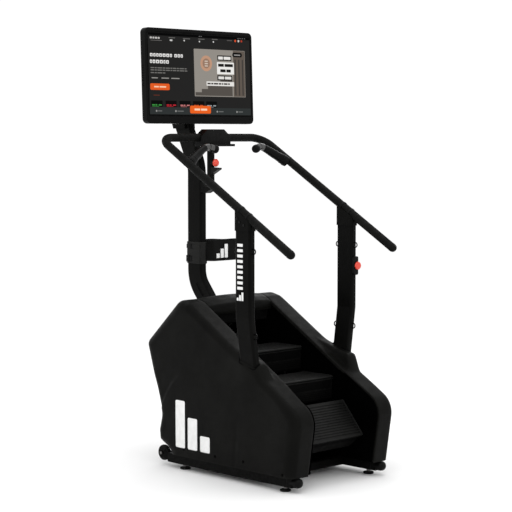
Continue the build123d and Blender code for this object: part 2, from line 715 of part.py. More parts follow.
for name, x, y, z in (("estop_button_console", 0, 797, 1511), ("estop_button_post", POST_X, POST_Y - POST_L / 2 - 15.2, 1008)):
    with BuildPart() as button:
        with BuildSketch(Plane.XY):
            with BuildLine():
                Polyline((0, -9), (7.9, -9), (7.9, 6), (18.5, 6), (20, 9), (19.2, 14), (14, 19), (7, 21), (0, 21.5), close=True)
            make_face()
        revolve(axis=Axis.Y)
    moved = button.part.moved(Location((x, FRONT + y, z)) * Rot(0, 0, 180))
    with BuildPart() as button_placed:
        add(moved)
    save(button_placed, name)

# ------------------------------------------------------------------ mast and what it carries
with BuildPart() as mast:
    pts = [Vector(0, FRONT + y, z) for y, z in MAST_PATH]
    with BuildLine():
        path = FilletPolyline(*pts, radius=[150, 150])
    d0 = (pts[1] - pts[0]).normalized()
    with BuildSketch(Plane(origin=pts[0], x_dir=(1, 0, 0), z_dir=d0)):
        RectangleRounded(MAST_W, MAST_L, 9)
        RectangleRounded(MAST_W - 6, MAST_L - 6, 6, mode=Mode.SUBTRACT)
    sweep()
save(mast, "mast")

tilt = radians(SCREEN_TILT)
SCREEN_PLANE = Plane(origin=(0, FRONT + SCREEN_C[0], SCREEN_C[1]), x_dir=(1, 0, 0), z_dir=(0, -cos(tilt), sin(tilt)))
with BuildPart() as screen_housing:
    with BuildSketch(SCREEN_PLANE.offset(-SCREEN_T)):
        RectangleRounded(SCREEN_W, SCREEN_H, 25)
    extrude(amount=SCREEN_T)
    fillet(screen_housing.faces().sort_by(Axis.Y)[-1].edges(), 14)
    fillet(screen_housing.faces().sort_by(Axis.Y)[0].outer_wire().edges(), 3)
    with BuildSketch(SCREEN_PLANE.offset(-2.4)):
        with Locations((0, 10.5)):
            RectangleRounded(GLASS_W + 0.8, GLASS_H + 0.8, 4.4)
    extrude(amount=5, mode=Mode.SUBTRACT)
    # hinge lugs on the back
    for x in (-46, 38):
        with BuildSketch(side_plane(x)):
            with BuildLine():
                Polyline(P(938, 1965), P(938, 1905), P(985, 1921), P(997, 1935), P(985, 1949), close=True)
            make_face()
            with Locations(P(*TILT_AXIS)):
                Circle(6.05, mode=Mode.SUBTRACT)
        extrude(amount=8)
save(screen_housing, "screen_housing")

with BuildPart() as screen_glass:
    with BuildSketch(SCREEN_PLANE.offset(-2.3)):
        with Locations((0, 10.5)):
            RectangleRounded(GLASS_W, GLASS_H, 4)
    extrude(amount=2)
save(screen_glass, "screen_glass")

with BuildPart() as screen_bracket:
    with BuildSketch(side_plane(-36)):
        with BuildLine():
            Polyline(P(984, 1684), P(1072, 1684), P(1085, 1716), P(1075, 1760), P(1030, 1880), P(1010, 1948), P(985, 1950),
                     P(970, 1935), P(985, 1915), P(990, 1760), close=True)
        make_face()
        with Locations(P(*TILT_AXIS)):
            Circle(6, mode=Mode.SUBTRACT)
    extrude(amount=72)
    # socket for the mast's end
    add(Plane(origin=(0, FRONT + 1016, 1675.6), x_dir=(1, 0, 0), z_dir=(0, 0.4164, 0.9092))
        * Box(MAST_W + 0.4, MAST_L + 0.4, 115.4, mode=Mode.PRIVATE), mode=Mode.SUBTRACT)
    # pin of the tilt hinge
    with BuildSketch(side_plane(-50)):
        with Locations(P(*TILT_AXIS)):
            Circle(6)
    extrude(amount=100)
save(screen_bracket, "screen_bracket")

HOLD_Z0, HOLD_Z1 = 1007.0, 1112.0
with BuildPart() as accessory_holder:
    with BuildSketch(Plane.XY.offset(HOLD_Z0)):
        with Locations((0, FRONT + 931)):
            RectangleRounded(MAST_W + 8, MAST_L + 8, 12)
        with Locations((134, FRONT + 893)):
            SlotOverall(236, 76)
        with Locations((134, FRONT + 893)):
            SlotOverall(229, 69, mode=Mode.SUBTRACT)
        with Locations((0, FRONT + 931)):
            RectangleRounded(MAST_W + 0.3, MAST_L + 0.3, 9, mode=Mode.SUBTRACT)
    extrude(amount=HOLD_Z1 - HOLD_Z0)
    with BuildSketch(Plane.XY.offset(HOLD_Z0)):
        with Locations((134, FRONT + 893)):
            SlotOverall(232, 72)
        with Locations((0, FRONT + 931)):
            RectangleRounded(MAST_W + 0.3, MAST_L + 0.3, 9, mode=Mode.SUBTRACT)
    extrude(amount=4)
save(accessory_holder, "accessory_holder")

# ------------------------------------------------------------------ anchor rings and fasteners
with BuildPart() as anchor_rings:
    for s in (-1, 1):
        for z in (710.0, 1110.0):
            for f in (-1, 1):
                face_y = FRONT + POST_Y + f * POST_L / 2
                ring = Pos(s * post_x(z), face_y + f * 7, z) * (Rot(0, 90, 0) * Torus(12, 1.8, mode=Mode.PRIVATE))
                cut = Pos(s * post_x(z), face_y - f * 19.95, z) * Box(40, 40, 60, mode=Mode.PRIVATE)
                add(ring - cut)
save(anchor_rings, "anchor_rings")

SCREWS = [(-15, 86), (235, 110), (431, 107), (660, 110)]
with BuildPart() as cover_screws:
    for s in (-1, 1):
        for y, z in SCREWS:
            with BuildSketch(side_plane(s * HALF_W if s > 0 else -HALF_W - 2)):
                with Locations(P(y, z)):
                    Circle(4.5)
                    RegularPolygon(2, 6, mode=Mode.SUBTRACT)
            extrude(amount=2)
save(cover_screws, "cover_screws")

with BuildPart() as post_bolts:
    for s in (-1, 1):
        x0 = s * (POST_X + POST_W / 2 + 4.5) if s > 0 else s * (POST_X + POST_W / 2 + 4.5) - 2.5
        for y, z in ((-14, 1232), (14, 1246), (30, 1262)):
            with BuildSketch(side_plane(x0)):
                with Locations(P(POST_Y + y, z)):
                    Circle(5)
                    RegularPolygon(2.5, 6, mode=Mode.SUBTRACT)
            extrude(amount=2.5)
save(post_bolts, "post_bolts")
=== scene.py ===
import json
import math

import bpy
import bmesh
import numpy as np
from mathutils import Matrix, Vector, geometry


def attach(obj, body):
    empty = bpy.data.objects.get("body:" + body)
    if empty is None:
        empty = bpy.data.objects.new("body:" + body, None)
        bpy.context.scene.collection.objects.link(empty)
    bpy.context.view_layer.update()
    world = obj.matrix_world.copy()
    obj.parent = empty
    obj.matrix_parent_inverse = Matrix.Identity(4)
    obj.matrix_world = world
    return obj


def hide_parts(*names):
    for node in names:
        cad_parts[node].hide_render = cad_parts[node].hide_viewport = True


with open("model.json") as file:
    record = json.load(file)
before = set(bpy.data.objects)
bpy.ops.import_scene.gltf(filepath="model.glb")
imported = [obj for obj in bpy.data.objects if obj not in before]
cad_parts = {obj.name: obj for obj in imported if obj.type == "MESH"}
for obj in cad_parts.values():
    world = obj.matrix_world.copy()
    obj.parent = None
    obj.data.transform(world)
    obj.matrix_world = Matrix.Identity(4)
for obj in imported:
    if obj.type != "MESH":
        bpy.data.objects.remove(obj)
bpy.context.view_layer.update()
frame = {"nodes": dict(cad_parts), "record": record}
NODES = frame["nodes"]
FY = -0.477          # Y of the front feet in the row frame
SCN = bpy.context.scene


# =====================================================================================
# materials
# =====================================================================================
class Mat:
    """A principled material with a few helpers for building its node tree."""

    def __init__(self, name):
        self.m = bpy.data.materials.new(name)
        self.m.use_nodes = True
        self.t = self.m.node_tree
        for n in list(self.t.nodes):
            self.t.nodes.remove(n)
        self.out = self.t.nodes.new("ShaderNodeOutputMaterial")
        self.bsdf = self.t.nodes.new("ShaderNodeBsdfPrincipled")
        self.t.links.new(self.bsdf.outputs[0], self.out.inputs[0])
        self.tc = self.t.nodes.new("ShaderNodeTexCoord")
        self.bumps = []

    def node(self, kind, **kw):
        n = self.t.nodes.new(kind)
        for k, v in kw.items():
            setattr(n, k, v)
        return n

    def link(self, a, b):
        self.t.links.new(a, b)

    def coords(self, scale=(1, 1, 1), rot=(0, 0, 0)):
        mp = self.node("ShaderNodeMapping")
        mp.inputs["Scale"].default_value = scale
        mp.inputs["Rotation"].default_value = rot
        self.link(self.tc.outputs["Object"], mp.inputs["Vector"])
        return mp.outputs[0]

    def noise(self, scale, detail=3.0, rough=0.55, stretch=(1, 1, 1), dist=0.0):
        n = self.node("ShaderNodeTexNoise")
        n.inputs["Scale"].default_value = scale
        n.inputs["Detail"].default_value = detail
        n.inputs["Roughness"].default_value = rough
        n.inputs["Distortion"].default_value = dist
        self.link(self.coords(stretch), n.inputs["Vector"])
        return n.outputs["Fac"]

    def voronoi(self, scale, feature="F1", stretch=(1, 1, 1), rnd=1.0, out="Distance"):
        n = self.node("ShaderNodeTexVoronoi", feature=feature)
        n.inputs["Scale"].default_value = scale
        n.inputs["Randomness"].default_value = rnd
        self.link(self.coords(stretch), n.inputs["Vector"])
        return n.outputs[out]

    def remap(self, fac, a, b, lo, hi, smooth=True):
        n = self.node("ShaderNodeMapRange")
        if smooth:
            n.interpolation_type = "SMOOTHSTEP"
        n.inputs["From Min"].default_value = a
        n.inputs["From Max"].default_value = b
        n.inputs["To Min"].default_value = lo
        n.inputs["To Max"].default_value = hi
        self.link(fac, n.inputs["Value"])
        return n.outputs[0]

    def math(self, op, a, b=None):
        n = self.node("ShaderNodeMath", operation=op)
        for i, v in enumerate((a, b)):
            if v is None:
                continue
            if isinstance(v, (int, float)):
                n.inputs[i].default_value = v
            else:
                self.link(v, n.inputs[i])
        return n.outputs[0]

    def mix(self, fac, a, b, blend="MIX"):
        n = self.node("ShaderNodeMix", data_type="RGBA", blend_type=blend)
        if isinstance(fac, (int, float)):
            n.inputs[0].default_value = fac
        else:
            self.link(fac, n.inputs[0])
        for i, v in ((6, a), (7, b)):
            if isinstance(v, (tuple, list)):
                n.inputs[i].default_value = (*v[:3], 1)
            else:
                self.link(v, n.inputs[i])
        return n.outputs[2]

    def bump(self, height, strength, distance):
        n = self.node("ShaderNodeBump")
        n.inputs["Strength"].default_value = strength
        n.inputs["Distance"].default_value = distance
        self.link(height, n.inputs["Height"])
        if self.bumps:
            self.link(self.bumps[-1].outputs[0], n.inputs["Normal"])
        self.bumps.append(n)
        self.link(n.outputs[0], self.bsdf.inputs["Normal"])

    def color(self, c):
        if isinstance(c, (tuple, list)):
            self.bsdf.inputs["Base Color"].default_value = (*c[:3], 1)
        else:
            self.link(c, self.bsdf.inputs["Base Color"])

    def rough(self, r):
        if isinstance(r, (int, float)):
            self.bsdf.inputs["Roughness"].default_value = r
        else:
            self.link(r, self.bsdf.inputs["Roughness"])

    def set(self, **kw):
        for k, v in kw.items():
            self.bsdf.inputs[k.replace("_", " ")].default_value = v
        return self

    def edges(self):
        """About 1 on worn outer edges, from the surface's own curvature."""
        g = self.node("ShaderNodeNewGeometry")
        e = self.remap(g.outputs["Pointiness"], 0.515, 0.60, 0.0, 1.0)
        k = self.remap(self.noise(60, 4), 0.35, 0.65, 0.3, 1.0)
        return self.math("MULTIPLY", e, k)


def moulded(name, dark, light, rough=0.5, spec=0.25, grain=900, grain_bump=0.35, wear=0.35, scuff=True):
    """Fine-grained moulded plastic: mould grain, faint clouding, scuffs and rubbed edges."""
    a = Mat(name)
    cloud = a.remap(a.noise(4.5, 4), 0.35, 0.68, 0, 1)
    c = a.mix(cloud, dark, light)
    speck = a.remap(a.voronoi(grain * 0.55), 0.0, 0.6, 0.75, 1.15)
    c2 = a.node("ShaderNodeVectorMath", operation="SCALE")
    a.link(c, c2.inputs[0])
    a.link(speck, c2.inputs["Scale"])
    c = c2.outputs[0]
    e = a.edges()
    c = a.mix(a.math("MULTIPLY", e, wear), c, tuple(min(1, v * 3.2 + 0.006) for v in light))
    r = a.remap(a.noise(22, 5, 0.6), 0.3, 0.7, rough - 0.07, rough + 0.07)
    if scuff:
        s = a.remap(a.noise(16, 6, 0.7, (1, 6, 1.3), 0.6), 0.60, 0.72, 0, 1)
        r = a.math("SUBTRACT", r, a.math("MULTIPLY", s, 0.10))
        c = a.mix(a.math("MULTIPLY", s, 0.10), c, tuple(v * 2.0 + 0.004 for v in light))
    a.color(c)
    a.rough(r)
    a.bump(a.voronoi(grain), grain_bump, 0.00025)
    a.bump(a.noise(grain * 0.35, 3), 0.18, 0.0004)
    a.set(Specular_IOR_Level=spec)
    return a.m


def powder(name, dark, light, rough=0.42, spec=0.3, orange=0.30):
    """Powder coat over steel: orange peel, tiny sparkle specks, edge rub."""
    a = Mat(name)
    c = a.mix(a.remap(a.noise(7, 4), 0.3, 0.7, 0, 1), dark, light)
    sp = a.remap(a.voronoi(1500), 0.0, 0.16, 1.0, 0.0)
    c = a.mix(a.math("MULTIPLY", sp, 0.35), c, tuple(v * 2.5 + 0.006 for v in light))
    c = a.mix(a.math("MULTIPLY", a.edges(), 0.30), c, tuple(v * 3 + 0.008 for v in light))
    a.color(c)
    a.rough(a.remap(a.noise(35, 5, 0.6), 0.3, 0.7, rough - 0.06, rough + 0.08))
    a.bump(a.noise(420, 3, 0.5), orange, 0.0005)
    a.bump(a.voronoi(1500), 0.12, 0.00015)
    a.set(Specular_IOR_Level=spec)
    return a.m


def foam_grip(name):
    """Textured grip sleeve: pitted skin with light specks and polished wear."""
    a = Mat(name)
    pit = a.voronoi(420)
    c = a.mix(a.remap(pit, 0.05, 0.55, 0, 1), (0.0011, 0.0011, 0.0010), (0.0040, 0.0040, 0.0036))
    c = a.mix(a.remap(a.voronoi(210, rnd=1.0), 0.0, 0.24, 0.60, 0.0), c, (0.036, 0.036, 0.033))
    c = a.mix(a.remap(a.noise(9, 4), 0.45, 0.75, 0, 0.30), c, (0.012, 0.012, 0.0115))
    a.color(c)
    a.rough(a.remap(a.noise(40, 4), 0.3, 0.7, 0.52, 0.72))
    a.bump(pit, 0.65, 0.0009)
    a.bump(a.noise(1100, 2), 0.25, 0.0003)
    a.set(Specular_IOR_Level=0.070)
    return a.m


def metal(name, col, rough=0.28, brushed=(1, 1, 1), scale=260, bump=0.12):
    a = Mat(name)
    n = a.noise(scale, 4, 0.6, brushed)
    c = a.mix(a.remap(n, 0.3, 0.7, 0, 1), tuple(v * 0.82 for v in col), col)
    c = a.mix(a.remap(a.noise(30, 5), 0.55, 0.75, 0, 0.5), c, tuple(v * 0.55 for v in col))
    a.color(c)
    a.rough(a.remap(n, 0.3, 0.7, max(0.04, rough - 0.06), rough + 0.08))
    a.bump(n, bump, 0.0003)
    a.set(Metallic=1.0)
    return a.m


def rubber(name, dark=(0.004, 0.004, 0.004), light=(0.011, 0.011, 0.0105), rough=0.75):
    a = Mat(name)
    c = a.mix(a.remap(a.noise(40, 5), 0.35, 0.7, 0, 1), dark, light)
    c = a.mix(a.remap(a.noise(9, 5, 0.7), 0.55, 0.8, 0, 0.35), c, (0.035, 0.033, 0.030))
    a.color(c)
    a.rough(a.remap(a.noise(60, 4), 0.3, 0.7, rough - 0.1, rough + 0.08))
    a.bump(a.noise(700, 3), 0.35, 0.0004)
    a.set(Specular_IOR_Level=0.10)
    return a.m


def paint_white(name):
    """Printed white mark: slightly uneven ink."""
    a = Mat(name)
    c = a.mix(a.remap(a.noise(30, 4), 0.3, 0.7, 0, 1), (0.78, 0.78, 0.77), (0.86, 0.86, 0.855))
    a.color(c)
    a.rough(a.remap(a.noise(90, 3), 0.3, 0.7, 0.42, 0.55))
    a.bump(a.noise(800, 2), 0.08, 0.0002)
    return a.m


def glossy(name, col, rough=0.16, coat=0.5):
    a = Mat(name)
    c = a.mix(a.remap(a.noise(25, 4), 0.3, 0.7, 0, 1), tuple(v * 0.86 for v in col), col)
    a.color(c)
    a.rough(a.remap(a.noise(70, 4), 0.3, 0.7, rough - 0.03, rough + 0.09))
    a.bump(a.noise(500, 2), 0.05, 0.0002)
    a.set(Coat_Weight=coat)
    return a.m


def lit(name, col, strength=1.0):
    """A lit part of the display."""
    a = Mat(name)
    a.color(a.mix(a.remap(a.voronoi(900, rnd=0.0), 0.30, 0.62, 0.0, 1.0), (0.0006, 0.0006, 0.0007), (0.0003, 0.0003, 0.0004)))
    a.bsdf.inputs["Emission Color"].default_value = (*col, 1)
    a.bsdf.inputs["Emission Strength"].default_value = strength
    a.rough(a.remap(a.noise(40, 3), 0.3, 0.7, 0.10, 0.20))
    a.set(Specular_IOR_Level=0.015)
    return a.m


M_BODY = moulded("body_moulding", (0.0021, 0.0021, 0.0018), (0.0035, 0.0035, 0.0030), 0.50, 0.052)
# inner skirts: a much darker black moulding, painted shade for the shaded inside of the step well
M_SKIRT_PAINTED_SHADE = moulded("skirt_painted_shade", (0.0003, 0.0003, 0.0003), (0.0006, 0.0006, 0.0006), 0.75, 0.0, wear=0.05, scuff=False)
M_POWDER = powder("satin_powder_coat", (0.0015, 0.0015, 0.0013), (0.0026, 0.0026, 0.0023), 0.44, 0.042)
M_FRAME = powder("frame_powder_coat", (0.0011, 0.0011, 0.0010), (0.0021, 0.0021, 0.0019), 0.48, 0.030)
M_RAIL = foam_grip("rail_grip_skin")
M_PLASTIC = moulded("satin_black_plastic", (0.0016, 0.0016, 0.0016), (0.0028, 0.0028, 0.0027), 0.40, 0.075, grain=1200, grain_bump=0.2)
M_CASE = moulded("screen_case", (0.0014, 0.0014, 0.0014), (0.0024, 0.0024, 0.0023), 0.36, 0.060, grain=1300, grain_bump=0.18, scuff=False)
M_CHROME = metal("contact_steel", (0.105, 0.105, 0.104), 0.17, (1, 1, 1), 120, 0.04)
M_STEEL = metal("machined_steel", (0.12, 0.12, 0.122), 0.38, (6, 1, 1))
M_DARK_STEEL = metal("blackened_screws", (0.030, 0.030, 0.031), 0.36)
M_WIRE = metal("ring_wire", (0.006, 0.006, 0.006), 0.42, (1, 1, 1), 160, 0.05)
M_ALLOY = metal("cast_alloy", (0.22, 0.22, 0.23), 0.45, (1, 1, 1), 300, 0.4)
M_RUBBER = rubber("tread_rubber")
M_BELT = rubber("belt_rubber", rough=0.6)
M_RED = glossy("stop_red", (0.80, 0.055, 0.024), 0.20, 0.25)
M_WHITE = paint_white("printed_white")
M_BOARD = glossy("circuit_board", (0.012, 0.085, 0.04), 0.4, 0.1)
M_STEP = moulded("step_moulding", (0.0040, 0.0040, 0.0038), (0.0070, 0.0070, 0.0065), 0.52, 0.13, grain=700, grain_bump=0.45)
M_HOLDER = moulded("holder_skin", (0.0020, 0.0020, 0.0019), (0.0036, 0.0036, 0.0033), 0.58, 0.060, grain=600, grain_bump=0.4)
M_STRAP = moulded("strap_moulding", (0.0060, 0.0060, 0.0056), (0.0090, 0.0090, 0.0085), 0.50, 0.10, grain=800, grain_bump=0.3)
# risers: a much darker copy of the step moulding, painted shade for the shadow under the treads' nosings
M_RISER_PAINTED_SHADE = moulded("riser_painted_shade", (0.0009, 0.0009, 0.0009), (0.0017, 0.0017, 0.0016), 0.66, 0.025, grain=700, grain_bump=0.45)
M_DARK = moulded("deep_black", (0.0008, 0.0008, 0.0008), (0.0016, 0.0016, 0.0016), 0.75, 0.02)
M_SCREW_STEEL = metal("foot_steel", (0.16, 0.155, 0.15), 0.36, (1, 1, 4))


def glass_material():
    a = Mat("display_glass")
    c = a.mix(a.remap(a.noise(3, 3), 0.3, 0.7, 0, 1), (0.0012, 0.0012, 0.0013), (0.0018, 0.0018, 0.0019))
    a.color(c)
    a.bsdf.inputs["Emission Color"].default_value = (0.0115, 0.0112, 0.0108, 1)
    a.bsdf.inputs["Emission Strength"].default_value = 1.0
    smear = a.remap(a.noise(14, 6, 0.7, (1, 1, 2.2), 0.8), 0.45, 0.75, 0.07, 0.16)
    a.rough(smear)
    a.bump(a.noise(900, 2), 0.02, 0.0001)
    a.set(Specular_IOR_Level=0.045)
    return a.m


M_GLASS = glass_material()

SLOT_MAT = {
    "body_moulding": M_BODY, "powder_coat": M_POWDER, "frame_steel": M_FRAME, "step_black": M_STEP,
    "rail_grip": M_RAIL, "contact_chrome": M_CHROME, "black_plastic": M_PLASTIC, "screen_case": M_CASE,
    "screen_glass": M_GLASS, "stop_red": M_RED, "rubber_black": M_RUBBER, "bare_steel": M_STEEL,
    "bright_wire": M_WIRE, "belt_rubber": M_BELT, "board_green": M_BOARD, "holder_skin": M_HOLDER,
    "alloy_case": M_ALLOY}
for sp in frame["record"]["subparts"]:
    o = NODES[sp["node"]]
    m = SLOT_MAT[sp["material_slot"]]
    # the inner skirts take the painted shade colour
    if sp["node"] == "inner_skirts":
        m = M_SKIRT_PAINTED_SHADE
    if sp["node"] in ("post_bolts", "step_chains"):
        m = M_DARK_STEEL
    if sp["node"] == "cover_screws":
        m = M_DARK
    if sp["node"] == "rear_guard":
        m = M_DARK
    # the risers take the painted shade colour
    if sp["node"].endswith("_riser"):
        m = M_RISER_PAINTED_SHADE
    if sp["node"] == "anchor_rings":                        # dipped coating over the wire
        w = o.modifiers.new("weld", "WELD")
        w.merge_threshold = 0.00005
        d = o.modifiers.new("coat", "DISPLACE")
        d.mid_level = 0.0
        d.strength = 0.0010
    if not o.data.materials:
        o.data.materials.append(m)
    for i in range(len(o.data.materials)):
        o.data.materials[i] = m


# =====================================================================================
# mesh helpers
# =====================================================================================
def new_obj(name, verts, faces, mat, body="chassis", smooth=True, angle=None):
    me = bpy.data.meshes.new(name)
    me.from_pydata([tuple(v) for v in verts], [], [tuple(f) for f in faces])
    me.validate()
    me.update()
    if smooth:
        for p in me.polygons:
            p.use_smooth = True
    o = bpy.data.objects.new(name, me)
    SCN.collection.objects.link(o)
    me.materials.append(mat)
    if smooth and angle is not None:
        sharp_by_angle(me, angle)
    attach(o, body)
    return o


def sharp_by_angle(me, deg):
    bm = bmesh.new()
    bm.from_mesh(me)
    lim = math.radians(deg)
    for e in bm.edges:
        if len(e.link_faces) == 2:
            e.smooth = e.calc_face_angle(0.0) < lim
        else:
            e.smooth = False
    bm.to_mesh(me)
    bm.free()


def recalc(o):
    bm = bmesh.new()
    bm.from_mesh(o.data)
    bmesh.ops.recalc_face_normals(bm, faces=bm.faces)
    bm.to_mesh(o.data)
    bm.free()


def round_poly(pts, step=0.008):
    """Closed outline from (y, z, r) corners: straight stretches and arcs, sampled about every step."""
    out = []
    n = len(pts)
    P = [np.array(p[:2], float) for p in pts]
    for i in range(n):
        a, b, c = P[i - 1], P[i], P[(i + 1) % n]
        r = pts[i][2]
        if r <= 0:
            out.append(b)
            continue
        u, v = a - b, c - b
        lu, lv = np.linalg.norm(u), np.linalg.norm(v)
        u, v = u / lu, v / lv
        ang = math.acos(max(-1, min(1, float(u @ v))))
        t = min(r / math.tan(ang / 2), lu * 0.49, lv * 0.49)
        r = t * math.tan(ang / 2)
        w = (u + v) / np.linalg.norm(u + v)
        cen = b + w * (r / math.sin(ang / 2))
        s, e = b + u * t - cen, b + v * t - cen
        a0, a1 = math.atan2(s[1], s[0]), math.atan2(e[1], e[0])
        d = (a1 - a0 + math.pi) % (2 * math.pi) - math.pi
        k = max(3, int(abs(d) / math.radians(6)) + 1)
        for j in range(k + 1):
            q = a0 + d * j / k
            out.append(cen + r * np.array([math.cos(q), math.sin(q)]))
    res = []
    m = len(out)
    for i in range(m):
        a, b = out[i], out[(i + 1) % m]
        L = np.linalg.norm(b - a)
        k = max(1, int(round(L / step)))
        for j in range(k):
            res.append(a + (b - a) * j / k)
    clean = [res[0]]
    for p in res[1:]:
        if np.linalg.norm(p - clean[-1]) > 1e-5:
            clean.append(p)
    return np.array(clean)


def seg_dist(Q, A, B):
    """Distances from points Q (n,2) to segments A-B (m,2), with the nearest segment's index and side."""
    best = np.full(len(Q), 1e9)
    idx = np.zeros(len(Q), int)
    side = np.zeros(len(Q))
    for k in range(len(A)):
        a, b = A[k], B[k]
        ab = b - a
        L2 = max(1e-12, ab @ ab)
        t = np.clip(((Q - a) @ ab) / L2, 0, 1)
        d = np.linalg.norm(Q - (a + t[:, None] * ab), axis=1)
        s = ab[0] * (Q[:, 1] - a[1]) - ab[1] * (Q[:, 0] - a[0])
        m = d < best
        best[m], idx[m], side[m] = d[m], k, s[m]
    return best, idx, side


def inside_poly(Q, P):
    x, y = Q[:, 0], Q[:, 1]
    ins = np.zeros(len(Q), bool)
    n = len(P)
    for i in range(n):
        x1, y1 = P[i]
        x2, y2 = P[(i + 1) % n]
        c = ((y1 > y) != (y2 > y)) & (x < (x2 - x1) * (y - y1) / (y2 - y1 + 1e-15) + x1)
        ins ^= c
    return ins


def sstep(x, a, b):
    t = np.clip((x - a) / (b - a), 0, 1)
    return t * t * (3 - 2 * t)


def lathe(name, prof, origin, axis, mat, body, seg=48, angle=40):
    """Solid of revolution: prof is (radius, height) pairs along axis from origin."""
    ax = Vector(axis).normalized()
    ref = Vector((1, 0, 0)) if abs(ax.x) < 0.9 else Vector((0, 1, 0))
    u = ax.cross(ref).normalized()
    v = ax.cross(u)
    O = Vector(origin)
    verts, faces, rings = [], [], []
    for r, h in prof:
        if r < 1e-6:
            rings.append([len(verts)])
            verts.append(O + ax * h)
        else:
            rings.append(list(range(len(verts), len(verts) + seg)))
            for k in range(seg):
                q = 2 * math.pi * k / seg
                verts.append(O + ax * h + (u * math.cos(q) + v * math.sin(q)) * r)
    for a, b in zip(rings, rings[1:]):
        for k in range(seg):
            k2 = (k + 1) % seg
            if len(a) == 1 and len(b) > 1:
                faces.append((a[0], b[k], b[k2]))
            elif len(b) == 1 and len(a) > 1:
                faces.append((a[k], b[0], a[k2]))
            elif len(a) > 1:
                faces.append((a[k], b[k], b[k2], a[k2]))
    o = new_obj(name, verts, faces, mat, body, True)
    recalc(o)
    sharp_by_angle(o.data, angle)
    return o


def tube(name, pts, radii, mat, body, seg=32, caps=True, angle=50):
    """Round bar through 3-D points with a radius at each, closed at both ends."""
    P = [Vector(p) for p in pts]
    n = len(P)
    tang = []
    for i in range(n):
        a, b = P[max(0, i - 1)], P[min(n - 1, i + 1)]
        tang.append((b - a).normalized())
    u = tang[0].orthogonal().normalized()
    verts, faces = [], []
    for i in range(n):
        if i:
            rot = tang[i - 1].rotation_difference(tang[i])
            u = (rot @ u).normalized()
        v = tang[i].cross(u)
        for k in range(seg):
            q = 2 * math.pi * k / seg
            verts.append(P[i] + (u * math.cos(q) + v * math.sin(q)) * radii[i])
    for i in range(n - 1):
        for k in range(seg):
            k2 = (k + 1) % seg
            faces.append((i * seg + k, i * seg + k2, (i + 1) * seg + k2, (i + 1) * seg + k))
    if caps:
        faces.append(tuple(range(seg))[::-1])
        faces.append(tuple((n - 1) * seg + k for k in range(seg)))
    o = new_obj(name, verts, faces, mat, body, True)
    recalc(o)
    sharp_by_angle(o.data, angle)
    return o


def rbox(name, c, size, r, mat, body, rot=None, seg=4):
    """Box with rounded edges, centred at c, optionally turned by a 3x3 matrix."""
    bm = bmesh.new()
    bmesh.ops.create_cube(bm, size=1.0)
    for v in bm.verts:
        v.co = Vector((v.co.x * size[0], v.co.y * size[1], v.co.z * size[2]))
    r = min(r, min(size) * 0.49)
    bmesh.ops.bevel(bm, geom=bm.edges[:], offset=r, segments=seg, profile=0.5, affect="EDGES")
    M = (rot.to_4x4() if rot else Matrix.Identity(4))
    M.translation = Vector(c)
    bmesh.ops.transform(bm, matrix=M, verts=bm.verts)
    me = bpy.data.meshes.new(name)
    bm.to_mesh(me)
    bm.free()
    for p in me.polygons:
        p.use_smooth = True
    o = bpy.data.objects.new(name, me)
    SCN.collection.objects.link(o)
    me.materials.append(mat)
    sharp_by_angle(me, 50)
    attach(o, body)
    return o


def soften(node, width=0.0012, seg=2, angle=35):
    """Small rounded edges on a CAD node, by modifiers, so that its edges catch light."""
    o = NODES[node]
    w = o.modifiers.new("weld", "WELD")
    w.merge_threshold = 0.00002
    b = o.modifiers.new("edge", "BEVEL")
    b.width = width
    b.segments = seg
    b.limit_method = "ANGLE"
    b.angle_limit = math.radians(angle)
    b.use_clamp_overlap = True
    b.harden_normals = False


# =====================================================================================
# moulded body
# =====================================================================================
MM = 0.001
OUT = [(-88, 72, 0), (-133, 363, 105), (640, 830, 46), (710, 849, 80), (962, 617, 44), (897, 423, 300),
       (848, 262, 60), (868, 184, 32), (862, 128, 30), (800, 97, 18), (772, 72, 0)]
OUTLINE = round_poly([(y * MM, z * MM, r * MM) for y, z, r in OUT], 0.0075)   # measured from the front feet
# the list runs up the front, over the hood, down the back and along the bottom
BOT = 0.0722
edge_mask = ~((OUTLINE[:, 1] < BOT) & (np.roll(OUTLINE, -1, 0)[:, 1] < BOT))


def slope_z(y):
    return 0.363 + 0.6041 * (y + 0.133)


def hump(p, s):
    """Raised seat for the post on the outer part of the sloping edge."""
    y, z = p
    if 0.060 < y < 0.42 and abs(z - slope_z(y)) < 0.02:
        ledge = 0.574 + (y - 0.142) * 0.36
        nose = 0.566 + (y - 0.142) * 1.75
        if s > 0:
            ledge = 0.584 + (y - 0.142) * 0.28
            nose = 0.552 + (y - 0.108) * 2.6
        k = 40.0
        h = -math.log(math.exp(-k * ledge * 4) + math.exp(-k * nose * 4)) / (4 * k)
        top = math.log(math.exp(k * 6 * h) + math.exp(k * 6 * z)) / (6 * k)
        return np.array([y, top])
    return p


def nose_part(Q):
    """1 at the front nose of the body, 0 away from it."""
    return (1 - sstep(Q[:, 0], -0.07, 0.10)) * (1 - sstep(Q[:, 1], 0.50, 0.60))


XO = 0.335


def rounding(p):
    """(reach in from the edge, depth in X) of the rounding at a point of the outline."""
    y, z = p
    if y < 0.05 and z < 0.47:
        k = float(sstep(np.array([0.47 - z]), 0.0, 0.12)[0])
        return 0.034 + 0.024 * k, 0.036 + 0.002 * k
    if y > 0.60 and z > 0.60:
        k = float(sstep(np.array([y]), 0.60, 0.74)[0])
        return 0.034 + 0.020 * k, 0.036 + 0.012 * k
    if y > 0.75:
        return 0.054 - 0.008 * float(sstep(np.array([0.6 - z]), 0.0, 0.15)[0]), 0.048
    return 0.034, 0.036


ker = np.ones(9) / 9
SH = {}


